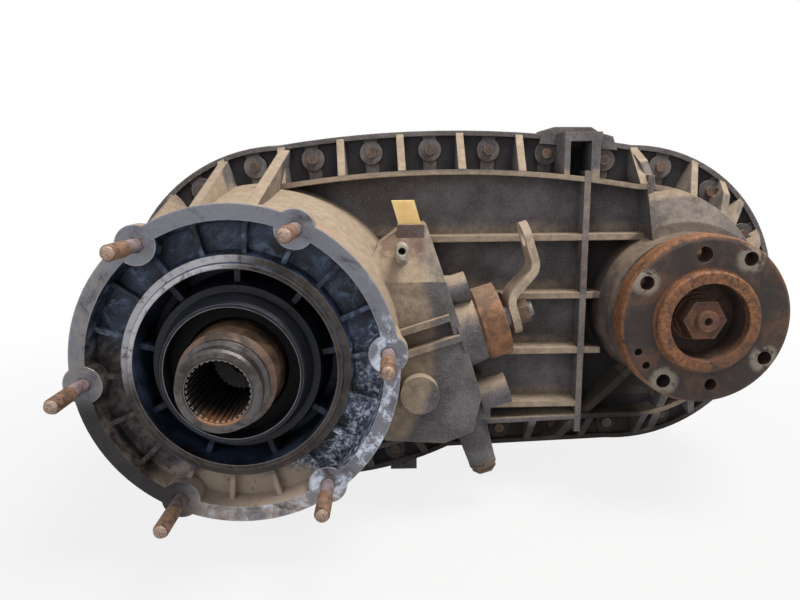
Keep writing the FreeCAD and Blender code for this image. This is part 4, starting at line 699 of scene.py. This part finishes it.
stud_finish, tree, shader = new_finish("bloomed_stud")
where, (_, py, _), _ = place_in(tree)
cloud = grain(tree, where, 160.0, 6.0, 0.7, 0.4)
fine = grain(tree, where, 900.0, 4.0, 0.7)
bloom = lay(tree, rise(tree, cloud, 0.38, 0.62), ZINC_DARK, ZINC_PINK)
rusty = lay(tree, rise(tree, cloud, 0.36, 0.60), THREAD_BROWN, THREAD_RUST)
skin = lay(tree, rise(tree, py, -0.0150, -0.0175), bloom, rusty)
phase = reckon(tree, "FRACT", reckon(
    tree, "DIVIDE", reckon(tree, "SUBTRACT", THREAD_START, py), STUD_PITCH))
groove = either(tree, rise(tree, phase, 0.25, 0.05), rise(tree, phase, 0.68, 0.90))
skin = coat(tree, skin, GROOVE_BLACK, 0.85, groove, rise(tree, py, -0.0166, -0.0172),
            rise(tree, py, -0.0398, -0.0392))
skin = coat(tree, skin, TIP_PALE, 0.8, rise(tree, py, -0.0395, -0.0405),
            rise(tree, fine, 0.35, 0.60))
# painted shade in the nooks of the thread
skin = coat(tree, skin, STUD_NOOK_SHADE, 0.75, rise(tree, nooks(tree, 0.0012), 0.75, 0.35))
feed(tree, shader.inputs["Base Color"], skin)
feed(tree, shader.inputs["Roughness"], total(tree, 0.50, both(tree, fine, 0.25)))
shader.inputs["Metallic"].default_value = 0.30
relief(tree, shader, [(fine, 0.00010), (cloud, 0.00020)])

for number in range(STUD_COUNT):
    angle = math.radians(FIRST_STUD_ANGLE + 360 / STUD_COUNT * number)
    spot = (STUD_CIRCLE * math.cos(angle), STUD_CIRCLE * math.sin(angle))
    stud = drawn_out("mounting_stud_%d" % (number + 1), spot, stud_rings)
    stud.data.materials.append(stud_finish)
    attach(stud, "casing")
    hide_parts("input_studs")

# ---------------------------------------------------------------- oiled steel inside
# Turned and ground shafts, gears and bearings under a film of old brown oil. Of these, the
# input shaft's nose and the retainer round it show in the snout's mouth.
# the near-black of painted shade in the corners of oiled steel
OILY_NOOK_SHADE = (0.010, 0.008, 0.007)
BRIGHT_EDGE = (0.50, 0.49, 0.50)


def oiled(name, steel, oil, oiliness, roughness=0.32, edge_share=0.0):
    """A dark machined steel under patches of old oil, its edges rubbed bright."""
    material, tree, shader = new_finish(name)
    where, _, _ = place_in(tree)
    cloud = grain(tree, where, 55.0, 7.0, 0.7, 0.5)
    fine = grain(tree, where, 520.0, 4.0, 0.7)
    film = rise(tree, cloud, 0.62 - oiliness * 0.3, 0.80 - oiliness * 0.3)
    skin = lay(tree, film, steel, oil)
    # painted shade: the corners are darkened to near-black
    skin = lay(tree, rise(tree, nooks(tree, 0.005), 0.6, 0.2), skin, OILY_NOOK_SHADE)
    if edge_share:
        skin = coat(tree, skin, BRIGHT_EDGE, edge_share, sharp_edges(tree, 0.0011))
    feed(tree, shader.inputs["Base Color"], skin)
    feed(tree, shader.inputs["Metallic"], reckon(tree, "SUBTRACT", 0.85, both(tree, film, 0.6)))
    feed(tree, shader.inputs["Roughness"], total(tree, roughness, both(tree, fine, 0.25)))
    shader.inputs["Specular IOR Level"].default_value = 0.30
    relief(tree, shader, [(fine, 0.00012), (cloud, 0.0003)], radius=0.0004)
    return material


# the input shaft: a dark steel nose, a collar stained brown with burnt oil and rusty splines
NOSE_DARK = (0.042, 0.036, 0.035)
NOSE_GREY = (0.112, 0.103, 0.101)
NOSE_EDGE_HIGHLIGHT = (0.46, 0.43, 0.40)
BURNT_DARK = (0.040, 0.026, 0.019)
BURNT_BROWN = (0.165, 0.096, 0.060)
SPLINE_BLACK = (0.012, 0.010, 0.009)
SPLINE_RUST = (0.34, 0.145, 0.058)
COLLAR_Y = (-0.0275, -0.0245)
COLLAR_REACH = (0.0262, 0.0268)
BORE_REACH = (0.0212, 0.0205)
nose_steel, tree, shader = new_finish("stained_input_shaft")
where, (px, py, pz), _ = place_in(tree)
cloud = grain(tree, where, 70.0, 7.0, 0.7, 0.5)
fine = grain(tree, where, 480.0, 5.0, 0.7)
reach = apart(tree, px, pz, 0.0, 0.0)
skin = lay(tree, rise(tree, cloud, 0.36, 0.60), NOSE_DARK, NOSE_GREY)
collar = both(tree, rise(tree, py, *COLLAR_Y), rise(tree, reach, *COLLAR_REACH))
burnt = lay(tree, rise(tree, cloud, 0.38, 0.62), BURNT_DARK, BURNT_BROWN)
skin = coat(tree, skin, burnt, 0.9, collar)
bore = rise(tree, reach, *BORE_REACH)
low = rise(tree, total(tree, pz, both(tree, cloud, 0.016)), -0.003, -0.010)
splines = lay(tree, both(tree, low, rise(tree, py, -0.018, -0.034)), SPLINE_BLACK, SPLINE_RUST)
skin = lay(tree, bore, skin, splines)
# painted shade in the corners
skin = coat(tree, skin, OILY_NOOK_SHADE, 0.9, rise(tree, nooks(tree, 0.005), 0.6, 0.2))
# painted highlight on the nose's sharp edges
skin = coat(tree, skin, NOSE_EDGE_HIGHLIGHT, 0.7, sharp_edges(tree, 0.0012))
feed(tree, shader.inputs["Base Color"], skin)
feed(tree, shader.inputs["Metallic"],
     reckon(tree, "SUBTRACT", 0.75, both(tree, either(tree, collar, bore), 0.45)))
feed(tree, shader.inputs["Roughness"], total(tree, 0.24, both(tree, fine, 0.26)))
relief(tree, shader, [(fine, 0.00012), (cloud, 0.0003)], radius=0.0005)

shaft_steel = oiled("oily_shaft_steel", steel=(0.21, 0.195, 0.19), oil=(0.045, 0.032, 0.024),
                    oiliness=0.55)
dark_steel = oiled("oily_dark_steel", steel=(0.026, 0.028, 0.038), oil=(0.007, 0.007, 0.008),
                   oiliness=0.5, roughness=0.30, edge_share=0.8)
gear_steel = oiled("oiled_gear_steel", steel=(0.42, 0.41, 0.40), oil=(0.16, 0.11, 0.07),
                   oiliness=0.25)
ground_steel = oiled("ground_bearing_steel", steel=(0.60, 0.60, 0.60), oil=(0.25, 0.2, 0.15),
                     oiliness=0.1, roughness=0.2)
for finish, names in (
        (nose_steel, ("input_shaft",)),
        (shaft_steel, ("main_shaft", "sector_shaft")),
        (dark_steel, ("input_retainer",)),
        (gear_steel, ("ring_gear", "planet_gear_1", "planet_gear_2", "planet_gear_3",
                      "planet_gear_4", "range_hub", "mode_sleeve", "mode_hub",
                      "drive_sprocket", "driven_sprocket", "chain", "planet_pins",
                      "oil_pump_rotor", "shift_rail", "planet_carrier", "oil_pump_body",
                      "sump_magnet", "range_fork", "mode_fork")),
        (ground_steel, ("input_bearing", "rear_bearing", "output_front_bearing",
                        "output_rear_bearing", "pilot_bearing", "detent_ball",
                        "detent_spring", "output_snap_ring", "main_snap_ring",
                        "rear_bushing"))):
    for name in names:
        dress(name, finish)


# ---------------------------------------------------------------- rubber and plastics
# Seal lips, the sensor's moulded body and the strainer are black; the harness clip is an aged
# yellow nylon that lets light through. The vent, the plugs and the oil pipe are zinc-plated.
def moulded(name, colour, shade, roughness, glow_share=0.0, dust_share=0.3, gloss=0.30):
    """A moulded rubber or plastic finish with dust and slight mottling."""
    material, tree, shader = new_finish(name)
    where, _, facing = place_in(tree)
    cloud = grain(tree, where, 90.0, 5.0, 0.6)
    skin = lay(tree, rise(tree, cloud, 0.35, 0.7), shade, colour)
    dusty = rise(tree, total(tree, facing[2], cloud), 0.6, 1.5)
    skin = coat(tree, skin, DUST_TAN, dust_share, dusty)
    feed(tree, shader.inputs["Base Color"], skin)
    feed(tree, shader.inputs["Roughness"], total(tree, roughness, both(tree, cloud, 0.2)))
    shader.inputs["Specular IOR Level"].default_value = gloss
    if glow_share:
        shader.inputs["Subsurface Weight"].default_value = glow_share
        shader.inputs["Subsurface Radius"].default_value = (0.006, 0.004, 0.001)
        shader.inputs["Subsurface Scale"].default_value = 1.0
    relief(tree, shader, [(grain(tree, where, 700.0, 3.0), 0.00008)], radius=0.0004)
    return material


seal_rubber = moulded("seal_rubber", colour=(0.010, 0.010, 0.012), shade=(0.005, 0.005, 0.006),
                      roughness=0.42, dust_share=0.0, gloss=0.10)
black_plastic = moulded("black_plastic", colour=(0.040, 0.040, 0.042),
                        shade=(0.022, 0.022, 0.023), roughness=0.45)
yellow_plastic = moulded("yellow_nylon", colour=(0.93, 0.72, 0.38), shade=(0.84, 0.58, 0.24),
                         roughness=0.38, glow_share=0.5, dust_share=0.1)
plated = rusted("dull_zinc_plate", rust=(0.40, 0.36, 0.30), dark=(0.24, 0.21, 0.17),
                bare=(0.58, 0.55, 0.50), bareness=0.45, scale=1.5, dust_share=0.4,
                depth=0.00015)
for finish, names in (
        (seal_rubber, ("input_seal", "output_seal", "rear_seal", "sector_seal")),
        (black_plastic, ("speed_sensor", "pickup_screen")),
        (yellow_plastic, ("harness_clip",)),
        (plated, ("vent_tube", "oil_plugs", "pickup_tube"))):
    for name in names:
        dress(name, finish)
